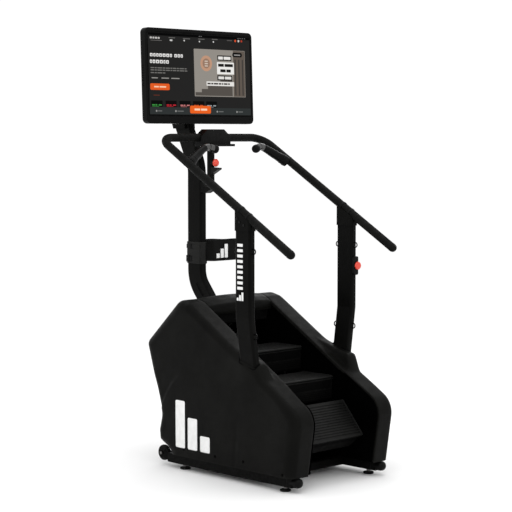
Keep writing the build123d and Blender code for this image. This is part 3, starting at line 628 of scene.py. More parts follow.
def shape_side(s):
    """Work out the edge of one flank; the two differ in the seat of the post."""
    outer = np.array([hump(p, s) for p in OUTLINE])
    ea, eb = outer[edge_mask], np.roll(outer, -1, 0)[edge_mask]
    rnd = np.array([rounding(p) for p in ea])
    SH.update(outer=outer, ea=ea, eb=eb,
              ins=np.convolve(np.pad(rnd[:, 0], 4, mode="edge"), ker, mode="valid"),
              dep=np.convolve(np.pad(rnd[:, 1], 4, mode="edge"), ker, mode="valid"))


CREASE = np.array([(0.858, 0.250), (0.838, 0.290), (0.812, 0.340), (0.784, 0.385), (0.752, 0.425), (0.724, 0.452),
                   (0.690, 0.480), (0.650, 0.500), (0.600, 0.512)])


def panel_x(Q):
    """|X| of the outer panel's surface at points (y, z)."""
    d, idx, _ = seg_dist(Q, SH["ea"], SH["eb"])
    t = np.clip(d / SH["ins"][idx], 0, 1)
    x = XO - SH["dep"][idx] * (1 - np.sqrt(np.clip(1 - (1 - t) ** 2, 0, 1)))
    x += 0.008 * nose_part(Q)
    # slight crown of the flat side
    x += 0.003 * (1 - np.clip(((Q[:, 0] - 0.36) / 0.52) ** 2, 0, 1)) * (1 - np.clip(((Q[:, 1] - 0.36) / 0.42) ** 2, 0, 1)) * sstep(d, 0.04, 0.14)
    # seat of the post
    g = np.exp(-(((Q[:, 0] - 0.215) / 0.085) ** 2 + ((Q[:, 1] - 0.560) / 0.070) ** 2))
    x += 0.013 * g * sstep(d, 0.0, 0.04)
    # pressed crease in front of the rear wheel
    dc, ic, sc = seg_dist(Q, CREASE[:-1], CREASE[1:])
    fade = (1 - sstep(Q[:, 1], 0.42, 0.51)) * sstep(Q[:, 0], 0.62, 0.72)
    behind = np.where(sc < 0, 1.0, -1.0)
    x -= 0.0050 * fade * sstep(behind * dc, -0.004, 0.007) * (1 - sstep(dc, 0.06, 0.14))
    # long soft fold near the front
    fold = np.exp(-((Q[:, 0] - 0.285 + 0.10 * (Q[:, 1] - 0.2)) / 0.012) ** 2) * (1 - sstep(np.abs(Q[:, 1] - 0.17), 0.05, 0.12))
    x -= 0.0014 * fold
    return x


def side_cover(s, name):
    shape_side(s)
    OUTER, EA, EB, INS = SH["outer"], SH["ea"], SH["eb"], SH["ins"]
    n = len(OUTER)
    # points of the flat region: contours near the edge and a grid inside
    pts = [tuple(p) for p in OUTER]
    nxt, prv = np.roll(OUTER, -1, 0), np.roll(OUTER, 1, 0)
    tan = nxt - prv
    tan /= np.linalg.norm(tan, axis=1)[:, None]
    nor = np.stack([tan[:, 1], -tan[:, 0]], 1)      # inward, for an outline that runs clockwise
    test = OUTER + nor * 0.004
    if inside_poly(test, OUTER).mean() < 0.5:
        nor = -nor
    for f in (0.010, 0.035, 0.08, 0.15, 0.24, 0.35, 0.48, 0.62, 0.78, 0.92, 1.02, 1.12):
        a = np.interp(np.arange(n), np.where(edge_mask)[0], INS)
        Q = OUTER + nor * (a * f)[:, None]
        d, _, _ = seg_dist(Q, EA, EB)
        ok = inside_poly(Q, OUTER) & (d > a * f * 0.93) & (Q[:, 1] > BOT + 0.003) & edge_mask
        pts += [tuple(p) for p in Q[ok]]
    gy = np.arange(-0.15, 0.95, 0.0085)
    gz = np.arange(BOT + 0.006, 0.86, 0.0085)
    G = np.array([(y + (0.00425 if k % 2 else 0), z) for k, z in enumerate(gz) for y in gy])
    d, idx, _ = seg_dist(G, EA, EB)
    ok = inside_poly(G, OUTER) & (d > INS[idx] * 1.18)
    pts += [tuple(p) for p in G[ok]]
    edges = [(i, (i + 1) % n) for i in range(n)]
    res = geometry.delaunay_2d_cdt([Vector(p) for p in pts], edges, [], 1, 1e-6)
    v2, tri = res[0], res[2]
    Q = np.array([(v.x, v.y) for v in v2])
    X = panel_x(Q)
    verts = [(s * x, q[0] + FY, q[1]) for x, q in zip(X, Q)]
    faces = [tuple(t) for t in tri]
    # edge strip: over the sloping top and front to the opening, then a short lip
    key = {}
    for i, q in enumerate(Q):
        key[(round(q[0], 5), round(q[1], 5))] = i
    start = [key.get((round(p[0], 5), round(p[1], 5))) for p in OUTER]
    xs_cols = [(0.280, OUTER, 0.0), (0.266, OUTER, 0.0), (0.2580, OUTER * 0.65 + OUTLINE * 0.35, 0.0), (0.2560, None, 0.0),
               (0.2500, OUTLINE, 0.0), (0.232, OUTLINE, 0.0), (0.2175, OUTLINE, 0.0), (0.2142, OUTLINE, 0.0007),
               (0.2130, OUTLINE, 0.0028), (0.2130, OUTLINE, 0.016)]
    nor2 = nor
    NP = nose_part(OUTLINE)
    cols = [start]
    for x, L, ins in xs_cols:
        if L is None:
            base = OUTER * 0.35 + OUTLINE * 0.65
        else:
            base = L
        b = base + nor2 * ins
        ids = []
        for i in range(n):
            groove = 0.0
            if abs(base[i][1] - 0.292) < 0.004 and base[i][0] < 0:
                groove = 0.0012
            p = b[i] + nor2[i] * groove
            ids.append(len(verts))
            xx = x + NP[i] * (0.012 if x < 0.24 else 0.010)
            verts.append((s * xx, p[0] + FY, p[1]))
        cols.append(ids)
    for a, b in zip(cols, cols[1:]):
        for i in range(n):
            j = (i + 1) % n
            if not edge_mask[i] or a[i] is None or a[j] is None:
                continue
            faces.append((a[i], a[j], b[j], b[i]))
    o = new_obj(name, verts, faces, M_BODY, "chassis", True)
    recalc(o)
    # the normals must face outwards
    bm = bmesh.new()
    bm.from_mesh(o.data)
    bm.faces.ensure_lookup_table()
    big = max(bm.faces, key=lambda f: f.calc_area())
    k = [f for f in bm.faces if abs(f.calc_center_median().y - (0.4 + FY)) < 0.05 and abs(f.calc_center_median().z - 0.3) < 0.05]
    if sum(f.normal.x * s for f in k) < 0:
        bmesh.ops.reverse_faces(bm, faces=bm.faces)
    bm.to_mesh(o.data)
    bm.free()
    sharp_by_angle(o.data, 55)
    sol = o.modifiers.new("wall", "SOLIDIFY")
    sol.thickness = 0.0030
    sol.offset = -1.0
    sol.use_rim = True
    return o


for side, s in (("left", -1), ("right", 1)):
    o = side_cover(s, "body_side_" + side)
    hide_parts("side_cover_" + side)


def hood():
    """Hood, rear slope and back between the side covers, with a soft crown and a turned front lip."""
    start = [i for i, p in enumerate(OUTLINE) if p[0] > 0.606 and p[1] > 0.70][0]
    stop = [i for i, p in enumerate(OUTLINE) if p[1] < BOT + 0.035 and p[0] > 0.6][0]
    prof = [np.array(p) for p in OUTLINE[start:stop]]
    lip = [np.array((0.6110, 0.7690)), np.array((0.6088, 0.7675)), np.array((0.6066, 0.7700)), np.array((0.6050, 0.785)),
           np.array((0.6046, 0.797)), np.array((0.6060, 0.8055))]
    prof = lip + prof
    n = len(prof)
    xs = np.concatenate([[-0.2127, -0.2118, -0.2095], np.linspace(-0.20, 0.20, 21), [0.2095, 0.2118, 0.2127]])
    verts, faces = [], []
    for i, p in enumerate(prof):
        a, b = prof[max(0, i - 1)], prof[min(n - 1, i + 1)]
        t = (b - a) / np.linalg.norm(b - a)
        nn = np.array([-t[1], t[0]])
        if nn @ np.array([0.0, 1.0]) < 0 and i > 5 and p[1] > 0.7:
            nn = -nn
        w = float(sstep(np.array([p[1]]), 0.55, 0.80)[0]) * (1.0 if i > 5 else 0.35)
        for x in xs:
            c = (1 - (x / 0.2127) ** 2)
            e = 0.0 if abs(x) < 0.2110 else (0.0022 if abs(x) > 0.2122 else 0.0007)
            q = p + nn * (0.009 * c * w) - nn * e * (1 if i > 5 else 0)
            verts.append((x, q[0] + FY, q[1]))
    m = len(xs)
    for i in range(n - 1):
        for k in range(m - 1):
            cy = (prof[i][0] + prof[i + 1][0]) / 2
            cz = (prof[i][1] + prof[i + 1][1]) / 2
            cx = (xs[k] + xs[k + 1]) / 2
            faces.append((i * m + k, i * m + k + 1, (i + 1) * m + k + 1, (i + 1) * m + k))
    o = new_obj("hood_and_back", verts, faces, M_BODY, "chassis", True)
    bm = bmesh.new()
    bm.from_mesh(o.data)
    bmesh.ops.recalc_face_normals(bm, faces=bm.faces)
    top = [f for f in bm.faces if f.calc_center_median().z > 0.83]
    if top and sum(f.normal.z for f in top) < 0:
        bmesh.ops.reverse_faces(bm, faces=bm.faces)
    bm.to_mesh(o.data)
    bm.free()
    sharp_by_angle(o.data, 60)
    sol = o.modifiers.new("wall", "SOLIDIFY")
    sol.thickness = 0.0030
    sol.offset = -1.0
    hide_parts("rear_cover")
    return o


hood()

for n_, w_ in (("post_left", 0.0008), ("post_right", 0.0008), ("post_collars", 0.0015), ("console_pod", 0.002),
               ("console_support_bracket", 0.002), ("screen_bracket", 0.003), ("estop_bases", 0.0015),
               ("cross_members", 0.001), ("step_1_riser", 0.001), ("step_2_riser", 0.001), ("step_3_riser", 0.001),
               ("accessory_holder", 0.0008), ("wheel_axles", 0.001), ("power_inlet", 0.001), ("screen_housing", 0.0012)):
    soften(n_, w_)


# =====================================================================================
# helpers for the detail pieces
# =====================================================================================
def prism(name, pts, M, z0, z1, mat, body, bev=0.0, angle=40):
    """Flat plate: a closed outline in the local XY plane of M between two heights, edges optionally broken."""
    n = len(pts)
    P2 = [Vector((p[0], p[1])) for p in pts]
    area = sum(P2[i].x * P2[(i + 1) % n].y - P2[(i + 1) % n].x * P2[i].y for i in range(n))
    if area < 0:
        P2 = P2[::-1]
    rings = [(z0, 0.0), (z1, 0.0)] if bev <= 0 else [(z0, 0.0), (z1 - bev, 0.0), (z1 - bev * 0.3, bev * 0.3), (z1, bev)]
    verts, faces = [], []
    for z, ins in rings:
        for i in range(n):
            a, b, c = P2[i - 1], P2[i], P2[(i + 1) % n]
            t = (c - a)
            t = t.normalized() if t.length > 1e-9 else Vector((1, 0))
            q = b + Vector((-t.y, t.x)) * ins
            verts.append(M @ Vector((q.x, q.y, z)))
    for k in range(len(rings) - 1):
        for i in range(n):
            j = (i + 1) % n
            faces.append((k * n + i, k * n + j, (k + 1) * n + j, (k + 1) * n + i))
    faces.append(tuple(range(n))[::-1])
    faces.append(tuple((len(rings) - 1) * n + i for i in range(n)))
    o = new_obj(name, verts, faces, mat, body, True)
    recalc(o)
    sharp_by_angle(o.data, angle)
    return o


def rrect(x0, y0, x1, y1, r, k=5):
    """Outline of a rectangle with rounded corners."""
    r = min(r, abs(x1 - x0) * 0.499, abs(y1 - y0) * 0.499)
    out = []
    for cx, cy, a0 in ((x1 - r, y1 - r, 0), (x0 + r, y1 - r, 90), (x0 + r, y0 + r, 180), (x1 - r, y0 + r, 270)):
        for j in range(k + 1):
            a = math.radians(a0 + 90 * j / k)
            out.append((cx + r * math.cos(a), cy + r * math.sin(a)))
    return out


def disc(cx, cy, r, k=32):
    return [(cx + r * math.cos(2 * math.pi * j / k), cy + r * math.sin(2 * math.pi * j / k)) for j in range(k)]


def frame_of(origin, ex, ey):
    """Matrix with its local X, Y along ex, ey and its local Z out of that plane."""
    ex, ey = Vector(ex).normalized(), Vector(ey).normalized()
    ez = ex.cross(ey)
    M = Matrix((ex, ey, ez)).transposed().to_4x4()
    M.translation = Vector(origin)
    return M


def Y(y):
    return y + FY


# =====================================================================================
# steps: ribbed treads, risers with a painted shadow under the nosing and a lower band
# =====================================================================================
RUN, RISE, RCH = 0.215, 0.126, 0.090
LOW_C = (0.181, 0.239)
PITCH = math.hypot(RUN, RISE)
SPAN = (6 * PITCH - 2 * math.pi * RCH) / 2
CI, SI = RUN / PITCH, RISE / PITCH
HIGH_C = (LOW_C[0] + SPAN * CI, LOW_C[1] + SPAN * SI)
FIRST = 0.1714


def on_line(dist):
    return (LOW_C[0] - SI * RCH + CI * dist, LOW_C[1] + CI * RCH + SI * dist)


def on_arc(c, turn):
    a = math.radians(turn)
    v = (-SI * RCH, CI * RCH)
    return (c[0] + v[0] * math.cos(a) - v[1] * math.sin(a), c[1] + v[0] * math.sin(a) + v[1] * math.cos(a))


TURN_3 = math.degrees((PITCH - FIRST) / RCH)
TURN_0 = -math.degrees((FIRST + 2 * PITCH - SPAN) / RCH)


def tread_profile():
    """Closed (y, z) outline of a tread, with the rib depth to take off at each point."""
    yb, yf, zt, zb = 0.085, -0.121, 0.070, 0.052
    pts = [(yf + 0.004, zb, 0), (yf + 0.0012, zb + 0.0012, 0), (yf, zb + 0.004, 0), (yf, 0.0568, 0), (yf + 0.0045, 0.0572, 0),
           (yf + 0.0045, 0.0632, 0), (yf, 0.0636, 0), (yf, zt - 0.006, 0),
           (yf + 0.0006, zt - 0.0032, 0), (yf + 0.0022, zt - 0.0010, 0), (yf + 0.005, zt, 0), (yf + 0.011, zt, 0)]
    y = yf + 0.0125
    pitch = 0.0140
    while y + pitch < yb - 0.010:
        pts += [(y, zt, 0), (y + 0.0012, zt, 1.0), (y + 0.0058, zt, 1.0), (y + 0.0070, zt, 0)]
        y += pitch
    pts += [(yb - 0.006, zt, 0), (yb - 0.002, zt - 0.0006, 0), (yb - 0.0006, zt - 0.002, 0), (yb, zt - 0.004, 0),
            (yb, zb + 0.003, 0), (yb - 0.003, zb, 0)]
    return pts


def tread(name, M, body, node=None):
    prof = tread_profile()
    n = len(prof)
    xs = [(-0.2050, 0.0012, 0.0), (-0.2044, 0.0004, 0.0), (-0.2030, 0.0, 0.0), (-0.1965, 0.0, 0.0), (-0.1955, 0.0, 1.0),
          (-0.1, 0.0, 1.0), (0.0, 0.0, 1.0), (0.1, 0.0, 1.0), (0.1955, 0.0, 1.0), (0.1965, 0.0, 0.0),
          (0.2030, 0.0, 0.0), (0.2044, 0.0004, 0.0), (0.2050, 0.0012, 0.0)]
    cy, cz = -0.018, 0.061
    verts, faces = [], []
    for x, ins, k in xs:
        for y, z, g in prof:
            zz = z - 0.0036 * g * k
            yy = y + (ins if y < cy else -ins)
            zz += ins if zz < cz else -ins
            verts.append(M @ Vector((x, yy, zz)))
    for i in range(len(xs) - 1):
        for j in range(n):
            k = (j + 1) % n
            faces.append((i * n + j, i * n + k, (i + 1) * n + k, (i + 1) * n + j))
    faces.append(tuple(range(n)))
    faces.append(tuple((len(xs) - 1) * n + j for j in range(n))[::-1])
    o = new_obj(name, verts, faces, M_STEP, body, True)
    recalc(o)
    sharp_by_angle(o.data, 28)
    if node:
        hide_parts(node)
    # end mouldings of the tread
    for s in (-1, 1):
        rb = rbox("%s_end_%s" % (name, "l" if s < 0 else "r"), (0, 0, 0), (0.0075, 0.196, 0.0030), 0.0012, M_STEP, body)
        place(rb, M @ Matrix.Translation((s * 0.2006, -0.018, 0.0702)), body)
    # dark strip inside the nose groove: painted shade of the groove
    g = rbox(name + "_nose_groove_painted_shade", (0, 0, 0), (0.4040, 0.0008, 0.0056), 0.0003, M_DARK, body, seg=2)
    place(g, M @ Matrix.Translation((0, -0.1168, 0.0602)), body)
    return o


def place(o, M, body):
    """Move a piece built round the origin to a place, by its mesh, and let it ride on the body."""
    o.parent = None
    o.matrix_world = Matrix.Identity(4)
    o.data.transform(M)
    o.data.update()
    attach(o, body)
    return o


def riser_trim(name, M, body, band=True):
    """Painted shadow under the nosing, as a thin dark sheet, and the raised lower band of a riser in the riser's
    painted shade colour.
    """
    # thin dark sheet on the riser: painted shadow under the nosing
    o = rbox(name + "_painted_shadow", (0, 0, 0), (0.396, 0.0012, 0.036), 0.0005, M_DARK, body)
    place(o, M @ Matrix.Translation((0, -0.1157, 0.0305)), body)
    if not band:                                            # the lowest step turns close past a cross member
        return
    o = rbox(name + "_band", (0, 0, 0), (0.402, 0.0085, 0.046), 0.0038, M_RISER_PAINTED_SHADE, body, seg=5)
    place(o, M @ Matrix.Translation((0, -0.1165, -0.0180)), body)
    for k in range(4):
        o = rbox("%s_line_%d" % (name, k), (0, 0, 0), (0.380, 0.0016, 0.0030), 0.0007, M_RISER_PAINTED_SHADE, body, seg=2)
        place(o, M @ Matrix.Translation((0, -0.1210, -0.004 - 0.0095 * k)), body)


def step_matrix(axle, turn):
    return Matrix.Translation((0, Y(axle[0]), axle[1])) @ Matrix.Rotation(math.radians(turn), 4, "X")


for nm, axle, turn in (("step_1", on_line(FIRST + PITCH), 0.0), ("step_2", on_line(FIRST), 0.0), ("step_3", on_arc(LOW_C, TURN_3), TURN_3)):
    Ms = step_matrix(axle, turn)
    tread(nm + "_ribbed_tread", Ms, nm, nm + "_tread")
    riser_trim(nm + "_riser_trim", Ms, nm, nm != "step_3")


# =====================================================================================
# display: what it shows, casing details
# =====================================================================================
TILT = math.radians(2.0)
SCR = frame_of((0, Y(0.897), 1.945), (1, 0, 0), (0, math.sin(TILT), math.cos(TILT)))   # local Z points at the user
LITS = {}


def lit_mat(col):
    if col not in LITS:
        lin = tuple(((v / 255 + 0.055) / 1.055) ** 2.4 if v > 10 else v / 255 / 12.92 for v in col)
        LITS[col] = lit("display_%02x%02x%02x" % col, lin)
    return LITS[col]


UI_N = [0]


def ui(x0, z0, x1, z1, col, r=1.0, lift=0.0):
    UI_N[0] += 1
    xa, xb = sorted((x0, x1))
    za, zb = sorted((z0, z1))
    return prism("display_item_%03d" % UI_N[0], [(x * MM, y * MM) for x, y in rrect(xa, za, xb, zb, r)], SCR,
                 -0.00028, (-0.00012 + 0.00009 * lift), lit_mat(col), "screen")


def ui_shape(pts, col, lift=0.0):
    UI_N[0] += 1
    return prism("display_item_%03d" % UI_N[0], [(x * MM, y * MM) for x, y in pts], SCR,
                 -0.00028, (-0.00012 + 0.00009 * lift), lit_mat(col), "screen")


def display():
    # strip along the top
    ui(-345, 199, 345, 212, (2, 2, 2), 1)
    for x in (-8, 4, 262, 276, 292, 308):
        ui(x, 204, x + 8, 207, (120, 120, 120), 1, 1)
    # header row
    for k, w in enumerate((14, 11, 15, 12)):
        x = -334 + sum((14, 11, 15, 12)[:k]) + 4 * k
        ui(x, 182, x + w, 191, (190, 188, 185), 1.5)
    ui(-330, 173, -256, 175, (120, 118, 116), 0.6)
    for x0, x1, z in ((-211, -168, 191), (-116, -68, 190), (-13, 31, 192), (81, 121, 194)):
        ui(x0, z - 2.5, x1, z + 2.0, (96, 95, 93), 1)
    for x0, x1, z in ((-204, -186, 178), (-112, -103, 180), (-9, 0, 179), (87, 96, 181)):
        ui(x0, z - 4, x1, z + 4, (205, 205, 203), 3.5)
    ui_shape(disc(245, 192, 6.5), (214, 78, 42))
    ui_shape(disc(268, 192, 6.0), (205, 203, 200))
    ui_shape(disc(289, 192, 6.0), (176, 60, 40))
    ui(186, 190, 222, 194, (90, 88, 86), 1)
    # headline, as rows of plain blocks
    for row, (zlo, zhi, spans) in enumerate(((94, 110, ((-336, -190), (-176, -118))), (61, 78, ((-337, -209),)))):
        for x0, x1 in spans:
            x = x0
            while x < x1 - 8:
                w = min((17, 13, 20, 15)[int(x * 7) % 4], x1 - x)
                ui(x, zlo, x + w, zhi, (232, 231, 229), 3)
                ui(x + w * 0.34, zlo + 3.5, x + w * 0.66, zhi - 5.5, (34, 33, 32), 1, 1)
                x += w + 4.5
    for x1, z in ((-97, 38.5), (-90, 27.5), (-239, 14.0)):
        x = -334
        k = 0
        while x < x1 - 10:
            w = (22, 14, 30, 18, 26, 12)[k % 6]
            ui(x, z - 2.6, min(x + w, x1), z + 2.6, (112, 111, 108), 1)
            x += w + 4
            k += 1
    for x0, x1 in ((-329, -289), (-265, -216), (-200, -146)):
        ui(x0, -14, x1, -9, (150, 148, 144), 1)
    ui(-339, -71, -213, -39, (226, 92, 34), 7)
    for x0, x1 in ((-314, -284), (-279, -236)):
        ui(x0, -58.5, x1, -51.5, (248, 205, 175), 1.5, 1)
    ui(-319, -98, -279, -95.5, (120, 52, 34), 1)
    # picture tile: a plain stair and dial graphic
    ui(-45, -98, 310, 142, (146, 141, 134), 3)
    ui(226, -96, 308, 140, (96, 87, 79), 3, 1)
    for x in (236, 262, 288):
        ui(x, -90, x + 9, 96, (64, 60, 57), 3, 2)
    stair = [(-40, -94)]
    for k in range(6):
        stair += [(-40 + k * 43.0, -94 + (k + 1) * 17.0), (-40 + (k + 1) * 43.0, -94 + (k + 1) * 17.0)]
    stair += [(218, -94)]
    ui_shape(stair, (84, 79, 74), 1)
    ring = disc(38, 70, 40, 48)
    ui_shape(ring, (190, 148, 122), 1)
    ui_shape(disc(38, 70, 25, 48), (150, 120, 102), 2)
    for k in range(3):
        ui(27, 54 + k * 12, 49, 60 + k * 12, (205, 190, 176), 2, 3)
    ui(222, 108, 290, 131, (10, 10, 10), 10, 2)
    ui(234, 116, 278, 122, (150, 148, 146), 2, 3)
    ui(116, 87, 214, 114, (20, 19, 18), 1, 3)
    for x0, x1 in ((122, 154), (160, 208)):
        ui(x0, 93, x1, 108, (232, 230, 226), 2, 4)
    ui(112, 18, 231, 79, (236, 235, 232), 1, 3)
    for z, cuts in ((56, ((120, 160), (165, 224))), (28, ((134, 172), (177, 208)))):
        for x0, x1 in cuts:
            ui(x0, z, x1, z + 15, (26, 25, 24), 2, 4)
    ui(113, -14, 216, 12, (20, 19, 18), 1, 3)
    for x0, x1 in ((120, 160), (166, 210)):
        ui(x0, -8, x1, 6, (226, 224, 220), 2, 4)
    ui(37, -43, 229, -21, (228, 226, 222), 1, 3)
    x = 43
    for w in (26, 18, 34, 22, 14, 30, 16):
        ui(x, -36, x + w - 4, -28, (60, 56, 52), 1.5, 4)
        x += w
    # cards
    for k, (x0, x1, tint, bar) in enumerate(((-336, -262, (7, 10, 7), (60, 150, 66)), (-242, -169, (12, 6, 7), (190, 40, 52)),
                                            (-150, -76, (8, 8, 8), (196, 120, 120)), (-59, 18, (12, 8, 6), (196, 80, 40)),
                                            (31, 106, (8, 8, 8), (150, 158, 160)))):
        ui(x0, -154, x1, -123, tint, 2)
        for j, w in enumerate((18, 12, 20)):
            ui(x0 + 6 + j * 21, -148, x0 + 6 + j * 21 + w, -142, bar, 1.5, 1)
        ui(x0 + 6, -153, x0 + 50, -151, bar, 1, 1)
    # bar along the bottom
    ui(-345, -191, 345, -156, (46, 50, 50), 1)
    for x0, x1 in ((-307, -266), (-180, -123), (102, 150), (241, 288)):
        ui(x0, -179, x0 + 9, -170, (150, 150, 148), 2, 1)
        ui(x0 + 14, -177, x1, -172, (104, 106, 105), 1, 1)
    ui(-80, -185, 62, -146, (234, 98, 32), 8, 2)
    for x0, x1 in ((-50, -12), (-6, 36)):
        ui(x0, -170, x1, -160, (252, 214, 184), 2, 3)


display()


def screen_casing():
    T = 0.046
    B = "screen"
    # thin raised frame round the glass
    outer = rrect(-0.3545, -0.2005, 0.3545, 0.2215, 0.008, 6)
    inner = rrect(-0.3466, -0.1926, 0.3466, 0.2136, 0.0045, 6)
    verts, faces = [], []
    n = len(outer)
    ring = [(outer, -0.0002), (outer, 0.0002), (inner, 0.0002), (inner, -0.0012)]
    mids = []
    for L, z in ring:
        mids.append(list(range(len(verts), len(verts) + n)))
        verts += [SCR @ Vector((p[0], p[1], z)) for p in L]
    for a, b in zip(mids, mids[1:]):
        for i in range(n):
            j = (i + 1) % n
            faces.append((a[i], a[j], b[j], b[i]))
    o = new_obj("display_gasket", verts, faces, M_DARK, B, True)
    recalc(o)
    sharp_by_angle(o.data, 30)
    so = o.modifiers.new("thick", "SOLIDIFY")
    so.thickness = 0.0003
    so.offset = -1
    # back: raised service cover with slots, ports and screws
    back = SCR @ Matrix.Rotation(math.pi, 4, "Y")          # local Z away from the user
    prism("display_back_cover", rrect(-0.235, -0.150, 0.235, 0.135, 0.022, 7), back, T - 0.001, T + 0.0075, M_CASE, B, 0.004)
    for r_ in range(2):
        for k in range(13):
            x = -0.195 + k * 0.0325
            z = 0.098 - r_ * 0.030
            prism("display_vent_%d_%d" % (r_, k), rrect(x - 0.012, z - 0.0035, x + 0.012, z + 0.0035, 0.0035, 6), back,
                  T + 0.0060, T + 0.0079, M_DARK, B, 0.0004)
    for k, (x, w) in enumerate(((-0.19, 0.020), (-0.155, 0.020), (-0.118, 0.014), (-0.090, 0.014))):
        prism("display_port_%d" % k, rrect(x, -0.132, x + w, -0.121, 0.0015, 3), back, T + 0.0060, T + 0.0081, M_DARK_STEEL, B, 0.0004)
    for k, (x, z) in enumerate(((-0.222, 0.122), (0.222, 0.122), (-0.222, -0.137), (0.222, -0.137), (0.0, 0.122), (0.0, -0.137))):
        c = back @ Vector((x, z, T + 0.0072))
        lathe("display_screw_%d" % k, [(0, 0.0016), (0.0012, 0.0016), (0.0016, 0.0008), (0.0034, 0.0016), (0.0042, 0.0010), (0.0044, 0), (0, 0)], c,
              back.to_3x3() @ Vector((0, 0, 1)), M_DARK_STEEL, B, 24)
    # a small indicator and speaker slots at the sides of the casing
    prism("display_indicator", disc(0.335, -0.214, 0.0022, 20), SCR, -0.001, 0.0004, M_DARK, B)
    for s in (-1, 1):
        for k in range(9):
            p = SCR @ Vector((s * 0.3636, -0.05 + k * 0.0125, -0.026))
            o = rbox("display_speaker_%s_%d" % ("l" if s < 0 else "r", k), p, (0.0014, 0.016, 0.005), 0.0006, M_DARK, B, seg=2)


screen_casing()


# =====================================================================================
# printed marks: plain bars only
# =====================================================================================
def bars_mark(name, M, w, h, mat, n=3, lift=0.0006, body="chassis"):
    """Stack of plain upright bars growing in height, from local (0, 0) to (w, h)."""
    gap = w * 0.085
    bw = (w - gap * (n - 1)) / n
    for k in range(n):
        hh = h * (k + 1) / n
        x0 = k * (bw + gap)
        prism("%s_bar_%d" % (name, k), rrect(x0, 0, x0 + bw, hh, min(bw, hh) * 0.10, 5), M, -0.0004, lift, mat, body, 0.0003)


# on each flank, following the crown of the panel
for s in (-1, 1):
    shape_side(s)
    name = "flank_mark_%s" % ("left" if s < 0 else "right")
    n_b, w_, h_ = 3, 0.250, 0.235
    gap = w_ * 0.085
    bw = (w_ - gap * (n_b - 1)) / n_b
    for k in range(n_b):
        hh = h_ * (k + 1) / n_b
        y0, z0 = 0.468 + k * (bw + gap), 0.115
        out = rrect(y0, z0, y0 + bw, z0 + hh, 0.008, 5)
        fine = []
        for i in range(len(out)):
            a, b = np.array(out[i]), np.array(out[(i + 1) % len(out)])
            m_ = max(1, int(np.linalg.norm(b - a) / 0.012))
            for j in range(m_):
                fine.append(a + (b - a) * j / m_)
        n_e = len(fine)
        gy = np.arange(y0 + 0.006, y0 + bw - 0.004, 0.011)
        gz = np.arange(z0 + 0.006, z0 + hh - 0.004, 0.011)
        F2 = np.array(fine)
        G = np.array([(a, b) for a in gy for b in gz])
        G = G[inside_poly(G, F2) & (seg_dist(G, F2, np.roll(F2, -1, 0))[0] > 0.004)]
        allp = [Vector(p) for p in fine] + [Vector(p) for p in G]
        res = geometry.delaunay_2d_cdt(allp, [(i, (i + 1) % n_e) for i in range(n_e)], [], 1, 1e-6)
        Q = np.array([(v.x, v.y) for v in res[0]])
        X = panel_x(Q) + 0.0004
        o = new_obj("%s_%d" % (name, k), [(s * x, q[0] + FY, q[1]) for x, q in zip(X, Q)], [tuple(t) for t in res[2]], M_WHITE, "chassis", True)
        recalc(o)
        if sum(p.normal.x * s for p in o.data.polygons) < 0:
            bm = bmesh.new()
            bm.from_mesh(o.data)
            bmesh.ops.reverse_faces(bm, faces=bm.faces)
            bm.to_mesh(o.data)
            bm.free()
        so = o.modifiers.new("film", "SOLIDIFY")
        so.thickness = 0.0006
        so.offset = -1

# rungs on the outer faces of the posts
for s in (-1, 1):
    nm = "left" if s < 0 else "right"
    M = frame_of((s * 0.3672, Y(0.2225), 0.0), (0, s, 0), (0, 0, 1))
    for k in range(9):
        z = 0.9300 + k * 0.0252
        prism("post_mark_%s_%d" % (nm, k), rrect(-0.0185, z, 0.0185, z + 0.0135, 0.002, 4), M, -0.0006, 0.0003, M_WHITE, "chassis")
    bars_mark("post_mark_%s_foot" % nm, frame_of((s * 0.3672, Y(0.2225 + 0.022), 0.878), (0, -1, 0), (0, 0, 1)) if s < 0 else
              frame_of((s * 0.3672, Y(0.2225 - 0.022), 0.878), (0, 1, 0), (0, 0, 1)), 0.044, 0.040, M_WHITE, 3, 0.0003)


